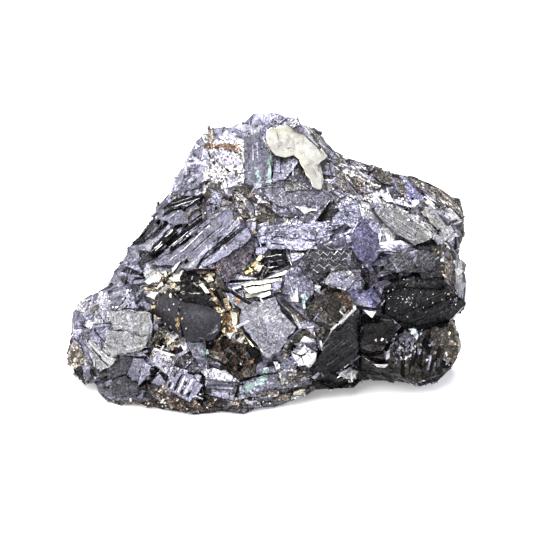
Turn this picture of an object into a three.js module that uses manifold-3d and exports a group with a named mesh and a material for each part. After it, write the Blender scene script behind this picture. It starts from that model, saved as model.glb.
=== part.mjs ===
// Galena specimen: one lump of intergrown cubic crystals, broken along its cleavage planes.
// Millimetres, +Z up, +X right, the richest side faces -Y. The origin is under the middle of the lump.
import * as THREE from "three";
import { mergeVertices } from "three/addons/utils/BufferGeometryUtils.js";
import Module from "manifold-3d";

const wasm = await Module();
wasm.setup();

// ---------------------------------------------------------------- driving sizes, mm
const SHOW_TILT = THREE.MathUtils.degToRad(20); // the show side is laid out leaning back by this much
const FLOOR_AT = 6.84; // height of the rest plane on the layout, where the layout's depth is zero
const CENTRE = [-1, 26]; // middle of the layout, [across, up]
const FRONT_RINGS = [0.2, 0.4, 0.58, 0.74, 0.89]; // where the core's rings lie, from the middle to the rim
const BACK_RINGS = [0.9, 0.66, 0.36];
const RIM_ROUNDING = 4; // how squarely the front rolls over into the rim
const FIELD_REACH = 6.5; // how far each depth stop reaches across the layout
const ROUGHNESS_OF_CORE = 0.45; // how far the core's corners are thrown about
const BLOCK_THICKNESS = 8; // how deep a cleavage block is rooted
const SET_IN = 0.8; // how far every block is let into the core
const OVERLAP = 0.5; // how far a block reaches past its outline, under its neighbours
const STEEPEST = 1.15; // steepest slope that a block follows
const SLOPE_SPAN = 1.6; // distance over which the core's slope is read
const CUT_HEIGHT = 40; // length of a cutting prism, well clear of the lump
const BACK_BOXES = 28; // cleavage cubes on the sides and back
const BACK_SPREAD = 0.96; // how near the rim the outermost of them lie
const BACK_BOX_SIZE = [7, 14]; // smallest and largest edge of those cubes
const BACK_BOX_BURIED = [0.46, 0.6]; // least and most of a cube's shortest edge that is buried
const GOLDEN_ANGLE = Math.PI * (3 - Math.sqrt(5)); // spreads the cubes evenly
const FAR_STOP_WEIGHT = 1e-4; // weight that a depth stop keeps far from itself
const WELD = 1e-4; // corners nearer than this are one corner
const FLOOR_SIZE = 200; // side of the cube that is kept above the rest plane

// ---------------------------------------------------------------- the rim, [across, up, depth]
const RIM = [
  [-13, 54.3, 8], [-14.5, 53.1, 7], [-15.9, 50.5, 7], [-17, 48, 6], [-18.9, 45.3, 6], [-19.3, 43.6, 5],
  [-21.9, 40.4, 5], [-23.1, 37.7, 5], [-25.8, 34.1, 5], [-27.7, 32.6, 4], [-28.2, 31, 4], [-30.6, 27.4, 4],
  [-31.9, 24.8, 4], [-34.9, 23, 4], [-37.1, 21.7, 4], [-38.9, 19.2, 4], [-39.2, 15.6, 5], [-38.9, 14.3, 5],
  [-40.2, 11, 6], [-39.7, 8.8, 7], [-38.9, 7, 8], [-37, 5.8, 9], [-36.2, 5, 10], [-34.3, 5.7, 10],
  [-33.2, 3.2, 13], [-31.5, 1.9, 15], [-28.8, 1.2, 16.5], [-24.8, 1.5, 17], [-20.4, 0.4, 19],
  [-14.9, -0.6, 21.5], [-9.2, 0, 20], [-4.5, -0.5, 21], [-2.7, 0.5, 19.5], [0.9, 0.8, 18],
  [4.4, 1.9, 16.5], [7.1, 2.8, 15.5], [9.4, 4.1, 15], [13, 4.4, 14.5], [17.2, 4.6, 13.5], [18.5, 6, 11],
  [20.6, 5.9, 8], [24.4, 5.6, 8], [27.1, 5.5, 11], [29.9, 4.6, 12.5], [33.6, 5.7, 10.5], [36.4, 8.2, 7],
  [38, 11.4, 5], [38, 14.3, 4], [37.1, 18.3, 3], [39.3, 19.9, 4], [39.6, 25.3, 3], [39.2, 27.4, 3],
  [39.6, 29, 2], [38, 30.5, 1], [39.1, 34.3, 1], [39.3, 38.1, 1], [38.3, 42, 1], [36.6, 42.5, 2],
  [33.6, 44.4, 3], [30.1, 46, 4], [25.2, 47.1, 5], [19.3, 49, 6.5], [16, 50, 7.5], [12.9, 51.6, 8.5],
  [11.3, 53.3, 9.5], [10.6, 54.9, 10], [8.9, 56, 10.5], [6.4, 56.8, 11.5], [5.8, 58.3, 12], [4.1, 58, 12],
  [1.2, 59, 12], [-2.8, 58.8, 11.5], [-4.9, 56.7, 11], [-8.3, 56, 10], [-11, 56, 9], [-12.3, 55.1, 8.5],
];

// ---------------------------------------------------------------- depth stops of the front, like the rim
const FRONT = [
  [-36, 10, 13], [-30, 5, 19], [-20, 5, 22.5], [-10, 4, 22.5], [0, 4, 21], [8, 7, 19], [14, 9, 18.5],
  [22, 9, 12], [30, 10, 16.5], [35, 12, 13], [-36, 18, 11], [-27, 16, 21.5], [-21, 13, 21], [-22, 21, 21.5],
  [-14, 19, 26], [-7, 17, 22], [-7, 11, 20], [0, 18, 25], [8, 13, 20.5], [12, 21, 23], [20, 16, 21],
  [30, 21, 18.5], [36, 21, 14], [-28, 27, 13], [-20, 27, 18], [-12, 25, 22.5], [-4, 29, 22.5], [5, 28, 22],
  [14, 29, 22.5], [20, 24, 17.5], [25, 28, 19], [31, 30, 14.5], [36, 30, 9], [-22, 35, 12], [-15, 33, 18],
  [-7, 34, 22], [0, 36, 20.5], [8, 35, 21], [15, 37, 20], [21, 34, 18.5], [27, 37, 16], [36, 38, 6.5],
  [-18, 44, 9.5], [-12, 43, 14], [-5, 41, 17], [3, 41, 20], [10, 42, 19], [16, 43, 15.5], [24, 43, 12],
  [33, 42, 7.5], [-12, 52, 10.5], [-6, 51, 14.5], [2, 50, 18], [8, 50, 16.5], [14, 48, 13.5],
  [22, 46, 9.5], [0, 56, 15], [6, 56, 13.5],
];

// ---------------------------------------------------------------- depth stops of the back
const BACK = [
  [-36, 12, -6], [-28, 24, -7], [-24, 6, -20], [-14, 12, -25], [-18, 36, -8], [-4, 24, -21], [-8, 42, -8],
  [0, 6, -26], [4, 34, -18], [2, 52, -1], [10, 14, -24], [14, 42, -10], [20, 8, -20], [22, 26, -19],
  [30, 38, -9], [32, 14, -13], [37, 26, -6], [10, 52, 0],
];

// ---------------------------------------------------------------- cleavage blocks of the show side
// Each block: how far its face stands out, how its face leans [across, up] beside the core, its outline.
const BLOCKS = [
  // summit: the pale mirror face, the dark faces under it, the grainy faces at its left
  [1.1, -0.12, -0.3, [[0.1, 56.2], [2.6, 57.2], [5, 56.1], [7.1, 55.2], [9.8, 52.4], [11.4, 50.4],
    [9.9, 49.4], [10.6, 46.2], [10.2, 44.4], [8.1, 45.9], [6.6, 49], [5, 51], [1.2, 51.1], [0, 52.9],
    [-0.6, 54.5]]],
  [0.9, 0.25, -0.05, [[-5.8, 51.6], [-7.8, 55.2], [-4.9, 56.3], [-0.8, 55.3], [0, 52.6], [0, 45.2],
    [-2.5, 45.2], [-4.4, 48.6]]],
  [0.5, 0.2, 0.25, [[1, 51.1], [4.8, 51], [4.8, 46.8], [2.8, 46.2], [0.2, 45.2]]],
  [0.8, -0.35, 0.15, [[4.8, 51], [5.9, 50], [7.8, 46.5], [8.6, 45.3], [5, 45], [4.8, 46.8]]],
  [1.2, -0.1, 0.12, [[-2.2, 44.5], [0, 45], [3.4, 46.2], [8.4, 45.4], [11.6, 44], [12.2, 42], [9.4, 39],
    [8, 37.4], [6.2, 38.6], [2.5, 38.6], [-0.5, 41], [-2.2, 42.6]]],
  [0.5, 0.1, -0.25, [[-11.5, 53.5], [-6, 52.5], [-5, 49], [-4.5, 47], [-5.5, 45], [-9, 44.5], [-10, 47],
    [-12, 50]]],
  [0.5, -0.2, -0.3, [[6.3, 56.3], [8.2, 56], [10.4, 54.4], [11.4, 52.9], [14.3, 50.4], [12.5, 50.4],
    [11, 51.4], [9, 53.2], [7, 55.4]]],
  [0, 0.1, 0.1, [[-7, 38.5], [-6.5, 42], [-4, 43.8], [-0.5, 42.5], [2, 39.5], [0.5, 37.6], [-3, 37.2]]],
  [0.6, 0.15, -0.1, [[-18, 46.2], [-17, 48], [-15.6, 50.4], [-13, 52], [-12, 50], [-12.5, 46],
    [-14.5, 44.5], [-17.3, 44.4]]],
  [1, 0.1, -0.15, [[-13.5, 40], [-12.6, 42.6], [-9.6, 44.2], [-7.4, 43.8], [-7.2, 40], [-9.2, 39.6],
    [-11.4, 38.8]]],
  // right shoulder: granular lump, striated plates stepping down to the rim
  [0.6, 0, -0.15, [[9.9, 49.6], [12, 50.1], [16, 49.4], [19, 48.3], [21.5, 47], [22.5, 45], [20, 43.4],
    [16, 43], [14.5, 42.5], [12, 44.2], [10.6, 46.6]]],
  [0.7, 0, -0.3, [[24, 45.4], [26.4, 45.8], [30.5, 42.4], [28.6, 40.6], [24.9, 41.4]]],
  [1, 0.1, -0.3, [[26.6, 46.3], [30, 45.4], [35.2, 43.2], [37, 41.6], [38.4, 38.5], [36, 38], [31, 41.5],
    [27.6, 44.5]]],
  [1.7, 0.1, 0.05, [[21.5, 40.5], [25.3, 40.3], [29, 38.5], [33, 34.8], [29.5, 33.8], [27.3, 33.9],
    [25.2, 35.6], [22, 39]]],
  [1, -0.2, -0.35, [[28.4, 40], [30.5, 40], [33, 38.2], [35.6, 34.6], [33.4, 33.4], [31.5, 36],
    [30.2, 38]]],
  [1.7, -0.1, 0.12, [[31.2, 40], [34, 39.5], [36.2, 37.4], [38, 35.6], [37.8, 34.9], [35.6, 34.7],
    [33, 38.3]]],
  [0.6, -0.3, 0, [[34, 40.5], [37.8, 40], [38.4, 36], [38, 33], [37.2, 36.5], [36, 38]]],
  [1.4, 0.15, -0.12, [[13, 37], [13.6, 40.8], [16.5, 42.4], [18.8, 39.2], [18.5, 38], [17.3, 36.6],
    [14.3, 37.3]]],
  [1.5, -0.25, 0, [[17, 35], [17.5, 36.2], [18.5, 37.6], [20.5, 37.2], [21.8, 35.8], [22.2, 34.5],
    [21, 30.5], [20.2, 29], [18.9, 29], [18.3, 31.5]]],
  [0.6, 0.3, 0.3, [[13, 34.3], [15.5, 35.2], [17, 36.8], [16.3, 33.5], [13, 33]]],
  [1.6, 0, -0.35, [[21, 32], [22, 33.2], [27, 33.4], [28, 32.6], [26, 31.6], [24.5, 31]]],
  [1.3, 0.1, 0.18, [[20.7, 29], [24.3, 30.6], [29.3, 31.2], [29.3, 28.2], [26.2, 26], [23.5, 24.5],
    [22.5, 25], [21.8, 26.8]]],
  [1.4, -0.2, 0.25, [[30.2, 27.6], [33.6, 29.9], [33.8, 28.9], [31.8, 26.3], [29.9, 26]]],
  [1, 0.3, 0.2, [[30.3, 33], [33.2, 34], [33.4, 32.8], [31.8, 30.6], [30.8, 30.8]]],
  [0.6, -0.3, -0.1, [[35, 24], [35.5, 29.3], [38.6, 29.1], [38.6, 24], [37.8, 22.8]]],
  [1.1, 0, 0.28, [[22.3, 21.5], [23.5, 24.3], [27, 25.6], [33, 25.8], [35.3, 25.1], [37, 22.9],
    [38.8, 21.5], [38.6, 20.2], [37, 18.8], [33, 17], [25.8, 17], [23, 20]]],
  [1.2, 0, -0.25, [[17, 21.5], [20, 22.6], [22.4, 21.8], [20.4, 18.9]]],
  // lower right: two swollen dark faces, the brown granular lump, the black hollow side
  [1.7, 0.05, -0.3, [[18.4, 17.5], [19.5, 19.6], [23, 19], [25.5, 17], [26.3, 16], [24.4, 15.2],
    [18.6, 15.6]]],
  [1.7, 0.05, 0.35, [[18.3, 15.4], [24.6, 15], [24.4, 13.5], [22, 12], [20.5, 11.7], [18.7, 12.6]]],
  [1.2, 0.05, 0, [[23.5, 11.8], [25.5, 14.8], [30, 15.2], [33.5, 16.2], [36.2, 17.4], [37.3, 13],
    [36.9, 10], [35.6, 8.4], [32.9, 6.6], [29.9, 5.8], [27, 7], [25, 8.5]]],
  [1.9, -0.1, -0.2, [[33.2, 9.4], [34.6, 9.8], [35.6, 8.8], [34.4, 8.2], [34, 7.3], [32.6, 7]]],
  [0.4, -0.2, 0.25, [[9.5, 4.9], [9.8, 11], [13, 16], [17, 20], [18, 19], [17.8, 12.5], [17.5, 10.2],
    [18, 6.6], [16.8, 5.2], [13, 5]]],
  [1.3, 0, -0.3, [[13.3, 7.5], [14.3, 8.7], [16.3, 9.8], [17.3, 9.7], [17.2, 8.2], [16.3, 6.6],
    [15, 6.6]]],
  [1.3, 0, 0, [[8.5, 20.3], [10.3, 22.7], [12.5, 24.2], [14.6, 24], [15.8, 22.5], [17.4, 19.8],
    [14.5, 17], [12.4, 17.5], [9, 19.2]]],
  // middle: the two long plates with a crack between, dark windows, the big pale face
  [1.8, 0.1, -0.15, [[-9, 39.2], [-6.3, 38.2], [-5.9, 36.6], [-9.9, 33], [-13, 30], [-14.5, 28.3],
    [-19, 28.8], [-22.6, 29.5], [-20, 31.5], [-16.5, 34.3], [-11, 38.2]]],
  [1.2, -0.05, 0.05, [[-5.5, 36.6], [-2.9, 36.6], [-3.2, 34.6], [-6.8, 33.1], [-9, 31.5], [-9.5, 29],
    [-10.5, 28.4], [-13.3, 28.3], [-12.9, 30], [-9.8, 32.7]]],
  [1, -0.3, 0.25, [[-3.2, 33.8], [-5, 33.6], [-9, 30.8], [-9.9, 28.6], [-8.7, 25.8], [-8.4, 24],
    [-5.2, 26.8], [-3.5, 30.5], [-2, 31.4]]],
  [0.9, 0.1, 0.4, [[-13.2, 26], [-12.5, 26.6], [-9.5, 26.4], [-8.8, 23.8], [-9.6, 23.4], [-12, 24.2]]],
  [0.7, 0.1, 0.35, [[-2, 31.8], [2.8, 31.9], [3.7, 27], [2, 26.3], [-0.8, 27], [-2, 30]]],
  [1.2, 0.1, 0, [[-4.5, 27.9], [-2, 26.5], [-0.9, 28.3], [-2, 29]]],
  [1.9, 0.05, -0.1, [[-8.6, 23.2], [-7.3, 23.9], [-4.6, 22], [-3, 21.2], [0.4, 23], [2.4, 20.6],
    [4.2, 19.1], [5.5, 16.5], [3.4, 14.5], [2.4, 12.3], [-0.4, 11.5], [-2.5, 13.5], [-4.5, 15.3],
    [-5.6, 18], [-5.3, 20.8]]],
  [1.1, 0, -0.2, [[-1.8, 35.2], [0.3, 37.2], [6, 36.9], [9.2, 37.4], [12, 36.5], [11.5, 34], [9, 32.5],
    [3, 34], [-1, 33]]],
  [1.4, 0.1, -0.1, [[3.5, 34], [6, 34.5], [7.5, 32.3], [4, 32.2]]],
  [1.9, 0, -0.2, [[4.7, 31.6], [6.9, 31.6], [6.7, 30.7], [5, 29.8]]],
  [1.4, -0.1, 0.2, [[8.7, 31.8], [9.8, 33], [13, 31.5], [16.5, 32.2], [17.8, 31.8], [19, 29.5],
    [18.3, 27.5], [14, 27.5], [10.5, 25.3], [8, 27], [7.3, 28.7]]],
  [1.8, 0, -0.3, [[11.2, 25.6], [13.5, 28.3], [15.5, 27.6], [17, 26.3], [15, 24.2], [12.3, 24.8]]],
  [1.2, 0.3, 0, [[2.8, 22.4], [3, 26.4], [5.2, 26.6], [5.4, 22]]],
  [0.9, -0.2, 0.1, [[5.6, 21.4], [5.6, 26.4], [8, 26.6], [9, 24.6], [8.3, 21], [6.8, 20.6]]],
  // left flank: small dark faces, the glassy grain, the two big dark faces
  [0.9, 0.2, 0.3, [[-29.2, 27], [-27.9, 28.6], [-26, 28.4], [-25.5, 27.6], [-27.5, 25.3], [-28.3, 25.2]]],
  [0.8, 0.3, 0.2, [[-27.5, 30], [-25.5, 31.4], [-24.2, 31.2], [-25.3, 29.8], [-26.8, 29]]],
  [1.2, 0.1, 0, [[-26, 28.4], [-23.8, 31.1], [-21.7, 29.4], [-23.3, 29.3], [-25, 28]]],
  [1.6, 0.1, -0.2, [[-24.3, 27.5], [-23.6, 28.9], [-22.2, 29.1], [-20.5, 27.7], [-20.4, 26.8],
    [-22, 25.6], [-23.6, 25.8]]],
  [0.4, 0, -0.2, [[-24.8, 23], [-23, 25.3], [-20, 27], [-17.1, 27.8], [-16.5, 26.6], [-18.3, 25],
    [-17.7, 23], [-22.5, 21.6]]],
  [1, 0, -0.5, [[-18.1, 25], [-17.7, 26], [-14.8, 27.6], [-13.2, 27.4], [-11.8, 23.8], [-9.8, 21.5],
    [-13, 22], [-17.7, 22.9]]],
  [1.7, 0.45, 0.1, [[-20.4, 24.4], [-22, 22], [-22.4, 20], [-21.5, 18.5], [-19, 18], [-17.5, 15.5],
    [-17.5, 22.5], [-18.5, 23.3]]],
  [2.3, -0.1, 0.1, [[-17.5, 22.5], [-14, 22.8], [-9.9, 21.5], [-9.3, 20.3], [-10.2, 16.5], [-12.4, 15],
    [-15.5, 14.8], [-17.5, 15.5]]],
  [1.1, 0.1, -0.1, [[-28.5, 24], [-27.5, 24.6], [-25.2, 21], [-26.3, 20], [-28, 20.3]]],
  [2, 0.15, -0.18, [[-31, 19.5], [-27.5, 20], [-24, 19.5], [-22.8, 18.5], [-22.8, 17], [-31.2, 15.4],
    [-29.8, 16.6], [-31, 18]]],
  [1.9, 0.12, 0, [[-31.3, 15.3], [-22.8, 17], [-25, 12.8], [-30.5, 11.7], [-31.9, 12.8]]],
  [1.2, 0.1, 0.1, [[-36.6, 15.2], [-34.8, 16.5], [-32.5, 17], [-30.8, 16.4], [-32, 14.8], [-32, 12.8],
    [-30.2, 11.6], [-30, 10.2], [-32.9, 8.3], [-34.5, 9.8], [-36.2, 13.2]]],
  [0.8, 0.1, -0.3, [[-38, 17.3], [-37, 20], [-34.7, 22.4], [-32.2, 23.4], [-31, 20.5], [-31.5, 17.6],
    [-35, 16.6]]],
  [0.5, 0.2, 0.1, [[-38.3, 17], [-37, 15.8], [-35, 10.5], [-33.9, 8.2], [-36, 9.5], [-38.3, 14.4]]],
  [0.6, 0.1, 0.1, [[-39.4, 11], [-38.4, 13.2], [-37.3, 12], [-35.8, 9.3], [-35.2, 7.2], [-36.4, 6],
    [-38.3, 7.5]]],
  // lower left: square grey crystal, dark lumps and the foot
  [2, 0, -0.12, [[-22, 12.8], [-18.3, 11], [-19.8, 7.6], [-22.9, 10.4], [-22.6, 11.5]]],
  [1.5, 0.1, -0.1, [[-29.9, 11.2], [-27, 12.1], [-25, 11.5], [-23, 9.2], [-24.2, 7], [-26, 6], [-30, 6],
    [-32.8, 6.2], [-33, 7.5], [-30.2, 10]]],
  [1.3, 0.1, 0.25, [[-33, 5], [-32.4, 3.6], [-30, 2.2], [-27, 2.1], [-25.5, 2.5], [-25, 5], [-28, 6]]],
  [1, 0.1, 0, [[-23.4, 13.4], [-22.4, 16.4], [-22.3, 18.4], [-21, 18], [-20.4, 14.5], [-21.6, 13.2]]],
  [0.9, 0, -0.1, [[-20.4, 12.2], [-20, 15], [-17.4, 15.3], [-15.8, 12.4], [-17.6, 11.2]]],
  [0.9, 0, 0.25, [[-24.6, 2.4], [-24, 5], [-20, 4.5], [-17, 3.2], [-15, 2.3], [-13.4, 0.9], [-15, 0.4],
    [-20.4, 1.2]]],
  [1.5, 0, -0.12, [[-16.4, 14.7], [-13.2, 14.8], [-12.6, 13.6], [-12.3, 11], [-11.8, 9.6], [-13.9, 10.5],
    [-15.2, 12]]],
  [2, 0, -0.1, [[-11.5, 12], [-8.6, 11], [-8.7, 9.7], [-11.8, 11.2]]],
  [1.9, 0, -0.45, [[-13, 11], [-12, 10.8], [-9, 9], [-6.3, 6.3], [-8, 6.5], [-12, 7], [-13, 8]]],
  [1.5, 0.2, 0.1, [[-11.1, 6.4], [-6.6, 5.9], [-6.6, 4.6], [-7.3, 1.6], [-9, 1.6], [-11.5, 2.7],
    [-13, 5.3]]],
  // foot of the middle: ledges beside the pocket, the bottom plate, white crystals
  [0.4, 0, 0, [[-9.8, 23.2], [-9, 23.5], [-7.8, 20.5], [-6.2, 17], [-6.5, 15.2], [-7.8, 15], [-9, 17.5],
    [-9.2, 21.5]]],
  [0.9, 0.1, -0.1, [[-5, 15.1], [-3, 13.2], [-1.7, 11.5], [-1.9, 10.2], [-2.6, 9.7], [-4.5, 12.4],
    [-5.4, 14]]],
  [1.5, 0, -0.12, [[-5, 4.9], [-3.5, 5.6], [-1.5, 6.6], [0.2, 6.7], [1.5, 3.8], [1.2, 3.3], [-1.5, 3.1],
    [-4.8, 3.3]]],
  [0.7, 0, -0.2, [[-3.2, 8.2], [-2.4, 9.6], [0, 9.9], [2.5, 9.9], [2.4, 8.2], [-1, 7.9]]],
  [0.9, 0, 0.1, [[-6.3, 0.8], [-6, 2.4], [-2.4, 2.3], [-2.5, 1], [-4.4, 0.5]]],
  [1.9, 0.2, -0.2, [[4.6, 10.5], [6.4, 12.2], [6.9, 12.9], [8.9, 11.2], [8.6, 10], [7.6, 9.3],
    [6.4, 9.7]]],
  [1.4, 0, -0.45, [[5.3, 16.6], [8.8, 18.6], [8.7, 16.9], [6, 16.4]]],
  [0.7, 0.2, 0.3, [[5.2, 15.6], [6, 16.3], [8.6, 16.3], [9.5, 15], [9.7, 13.2], [7, 14]]],
  [1.3, -0.2, 0, [[9.4, 15.4], [10.3, 12.2], [10.9, 12.2], [12.4, 15.5], [12.1, 17.2]]],
  [0.6, 0, 0.1, [[3, 5.2], [3.2, 9.5], [7, 9], [8.6, 5.6], [5, 4.8]]],
  [1.2, 0, 0, [[5.1, 2.6], [5.5, 3.7], [6.5, 4], [7.8, 3.9], [7.1, 3.1], [5.9, 2.5]]],
  [0.6, 0, 0, [[-2, 0.9], [-1.8, 2.6], [4.4, 3.2], [4, 2.2], [2.4, 1.5], [-0.3, 1.2]]],
];

// ---------------------------------------------------------------- ledges: rows of thin parallel slabs
// start corner, run of one slab, step to the next slab, share of the step that stands up,
// how far the slabs stand out by turns, lean [across, up]
const LEDGES = [
  { start: [-22.6, 29.9], run: [9.4, 7.4], step: [-0.62, 1.3], fill: 0.62,
    lifts: [1.5, 0.9, 1.3, 0.7, 1.5, 1, 1.3], lean: [0.15, -0.1] },
  { start: [-18.6, 38.4], run: [5.6, 3.5], step: [-0.7, 1.2], fill: 0.7, lifts: [1, 0.3, 0.9, 0.4],
    lean: [0.1, -0.2] },
  { start: [-19.9, 5.2], run: [1.2, 3.4], step: [1.45, -0.52], fill: 0.72, lifts: [1.9, 2, 1.9, 1.8, 1.5],
    lean: [0.1, -0.1] },
  { start: [-4.8, 24.8], run: [6.2, 0.9], step: [0.3, -0.86], fill: 0.62, lifts: [1.5, 1.6, 1.4],
    lean: [0, 0.1] },
  { start: [-30.4, 20.6], run: [3.2, 4.2], step: [0.95, -0.4], fill: 0.6, lifts: [0.6, 0.9, 0.5],
    lean: [0.1, 0] },
];

// ---------------------------------------------------------------- pockets, [depth below the core, outline]
const POCKETS = [
  [1.2, [[-9.7, 14], [-8.3, 15.2], [-5.6, 13.4], [-3.8, 10.2], [-2.8, 9], [-3.6, 7.4], [-6.2, 7.6],
    [-8.4, 9.5], [-8.9, 11.5]]],
  [2, [[-1.2, 11.2], [0.5, 11], [2.4, 11.9], [2.7, 11.2], [0, 10.1], [-1, 10.4]]],
  [1.5, [[-5.6, 5.4], [-3, 6.6], [0, 7.1], [2.2, 7.3], [2, 7.7], [-1, 7.7], [-5.4, 6.3]]],
  [1.8, [[9.2, 37.3], [12.2, 41.6], [12.9, 41.2], [12.6, 38], [11, 37]]],
  [1.6, [[25.2, 35], [27.4, 33.7], [29.3, 33.4], [28, 32.8], [26, 33.7]]],
  [1.4, [[18.2, 28.4], [19.6, 28.6], [20, 25.6], [19.2, 25], [18.4, 26.4]]],
  [1.2, [[-20, 41.1], [-18, 42.5], [-13.2, 42.5], [-15.4, 41.2], [-16, 40.5]]],
  [1.2, [[-16.9, 8], [-14.6, 10.6], [-13.4, 9.9], [-14, 8.4], [-15, 7.9]]],
  [1.2, [[28.9, 24.9], [29.6, 32.6], [30.2, 32.6], [29.9, 27.8], [29.8, 25]]],
  [1, [[-16.7, 28], [-13.2, 28.1], [-10.2, 28.2], [-9.9, 27.7], [-13.4, 27.5]]],
];

// thin cracks, [depth below the core, width, points of the crack]
const CRACKS = [
  [1.6, 0.9, [[17.9, 11.9], [20.5, 11.2], [22.8, 11.8], [25, 14.4], [26.6, 16.4]]],
  [0.6, 0.45, [[-5.7, 36.5], [-9.8, 32.9], [-12.9, 30.1], [-13.8, 28.4]]],
  [1, 0.6, [[18.3, 20.4], [17.9, 16], [18, 12], [18.3, 6.5]]],
  [1, 0.7, [[21, 24.4], [22.6, 22], [21.4, 20], [17.6, 20.4]]],
  [0.8, 0.6, [[8.9, 4.4], [9.2, 9], [10.2, 11.8], [9.4, 15.6]]],
  [0.8, 0.6, [[-12.6, 6.9], [-12.4, 3.2], [-10.6, 1.6]]],
  [0.8, 0.5, [[-24.3, 13], [-22.6, 14.8], [-22.6, 19.4]]],
];

// ---------------------------------------------------------------- cleavage directions of the back
const GRAIN_TURNS = [
  [0.35, 0.2, 0.15], [-0.2, 0.65, 0.4], [0.75, -0.35, 0.1], [0.1, -0.15, 0.7], [-0.5, 0.3, -0.35],
];

// a seeded chance, so that the same lump grows every time
let chanceState = 20260;
function chance() {
  chanceState = (chanceState * 1664525 + 1013904223) % 4294967296;
  return chanceState / 4294967296;
}

// ---------------------------------------------------------------- depth of the lump over the layout
function fieldDepth(stops, across, up) {
  let sum = 0;
  let weights = 0;
  for (const [stopAcross, stopUp, depth] of stops) {
    const gap = Math.hypot(across - stopAcross, up - stopUp) / FIELD_REACH;
    const weight = Math.exp(-gap * gap) + FAR_STOP_WEIGHT / (1 + gap * gap);
    sum += weight * depth;
    weights += weight;
  }
  return sum / weights;
}

// the rim beyond a point: how far out the point lies, as a share, and the rim's own depth there
function rimBeyond(across, up) {
  const dx = across - CENTRE[0];
  const dy = up - CENTRE[1];
  let reach = 0;
  let depth = 0;
  RIM.forEach(([ax, ay, aDepth], i) => {
    const [bx, by, bDepth] = RIM[(i + 1) % RIM.length];
    const det = dx * (by - ay) - dy * (bx - ax);
    const s = ((ax - CENTRE[0]) * (by - ay) - (ay - CENTRE[1]) * (bx - ax)) / det;
    const t = ((ax - CENTRE[0]) * dy - (ay - CENTRE[1]) * dx) / det;
    if (s > reach && t >= 0 && t <= 1) {
      reach = s;
      depth = aDepth + (bDepth - aDepth) * t;
    }
  });
  return { share: Math.min(1, 1 / reach), depth };
}

function depthAt(stops, across, up) {
  const field = fieldDepth(stops, across, up);
  if (Math.hypot(across - CENTRE[0], up - CENTRE[1]) < WELD) return field;
  const rim = rimBeyond(across, up);
  return rim.depth + (field - rim.depth) * Math.sqrt(1 - rim.share ** RIM_ROUNDING);
}

function slopeAt(stops, across, up) {
  const alongAcross = depthAt(stops, across + SLOPE_SPAN, up) - depthAt(stops, across - SLOPE_SPAN, up);
  const alongUp = depthAt(stops, across, up + SLOPE_SPAN) - depthAt(stops, across, up - SLOPE_SPAN);
  return [alongAcross, alongUp].map((rise) => {
    return THREE.MathUtils.clamp(rise / (2 * SLOPE_SPAN), -STEEPEST, STEEPEST);
  });
}

function middleOf(outline) {
  const across = outline.reduce((sum, point) => sum + point[0], 0) / outline.length;
  const up = outline.reduce((sum, point) => sum + point[1], 0) / outline.length;
  return [across, up];
}

// ---------------------------------------------------------------- solids
function solid(geometry) {
  geometry.deleteAttribute("normal");
  geometry.deleteAttribute("uv");
  const merged = mergeVertices(geometry, WELD);
  const vertProperties = new Float32Array(merged.attributes.position.array);
  const triVerts = new Uint32Array(merged.index.array);
  return new wasm.Manifold(new wasm.Mesh({ numProp: 3, vertProperties, triVerts }));
}

function prism(outline, thickness) {
  const shape = new THREE.Shape(outline.map(([across, up]) => new THREE.Vector2(across, up)));
  return new THREE.ExtrudeGeometry(shape, { depth: thickness, bevelEnabled: false });
}

// the lump under the crystals: rings from the middle of the front over the rim to the middle of the back
// The rim ring has every rim point, and the rings inside it have every second one.
function core() {
  const positions = [CENTRE[0], CENTRE[1], depthAt(FRONT, ...CENTRE)];
  const sparse = RIM.filter((_, i) => i % 2 === 0);
  const addRing = (points, share, stops) => {
    const first = positions.length / 3;
    for (const [rimAcross, rimUp, rimDepth] of points) {
      const across = THREE.MathUtils.lerp(CENTRE[0], rimAcross, share);
      const up = THREE.MathUtils.lerp(CENTRE[1], rimUp, share);
      const thrown = ROUGHNESS_OF_CORE * (2 * chance() - 1);
      positions.push(across, up, stops ? depthAt(stops, across, up) + thrown : rimDepth);
    }
    return first;
  };
  const index = [];
  const wrap = (i, count) => (i + count) % count;
  const joinRings = (inner, outer) => {
    for (let i = 0; i < sparse.length; i += 1) {
      const next = wrap(i + 1, sparse.length);
      index.push(inner + i, outer + i, outer + next, inner + i, outer + next, inner + next);
    }
  };
  const joinToRim = (ring, rim, turn) => {
    for (let i = 0; i < sparse.length; i += 1) {
      const here = rim + 2 * i;
      const middle = here + 1;
      const beyond = rim + wrap(2 * i + 2, RIM.length);
      const next = ring + wrap(i + 1, sparse.length);
      const faces = [[ring + i, here, middle], [ring + i, middle, next], [middle, beyond, next]];
      for (const [a, b, c] of faces) index.push(...(turn ? [a, c, b] : [a, b, c]));
    }
  };

  const front = FRONT_RINGS.map((share) => addRing(sparse, share, FRONT));
  const rim = addRing(RIM, 1, null);
  const back = BACK_RINGS.map((share) => addRing(sparse, share, BACK));
  const last = positions.length / 3;
  positions.push(CENTRE[0], CENTRE[1], depthAt(BACK, ...CENTRE));
  for (let i = 0; i < sparse.length; i += 1) {
    const next = wrap(i + 1, sparse.length);
    index.push(0, front[0] + i, front[0] + next);
    index.push(last, back.at(-1) + next, back.at(-1) + i);
  }
  front.slice(1).forEach((ring, i) => joinRings(front[i], ring));
  joinToRim(front.at(-1), rim, false);
  joinToRim(back[0], rim, true);
  back.slice(1).forEach((ring, i) => joinRings(back[i], ring));
  const geometry = new THREE.BufferGeometry();
  geometry.setAttribute("position", new THREE.Float32BufferAttribute(positions, 3));
  geometry.setIndex(index);
  return solid(geometry);
}

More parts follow.
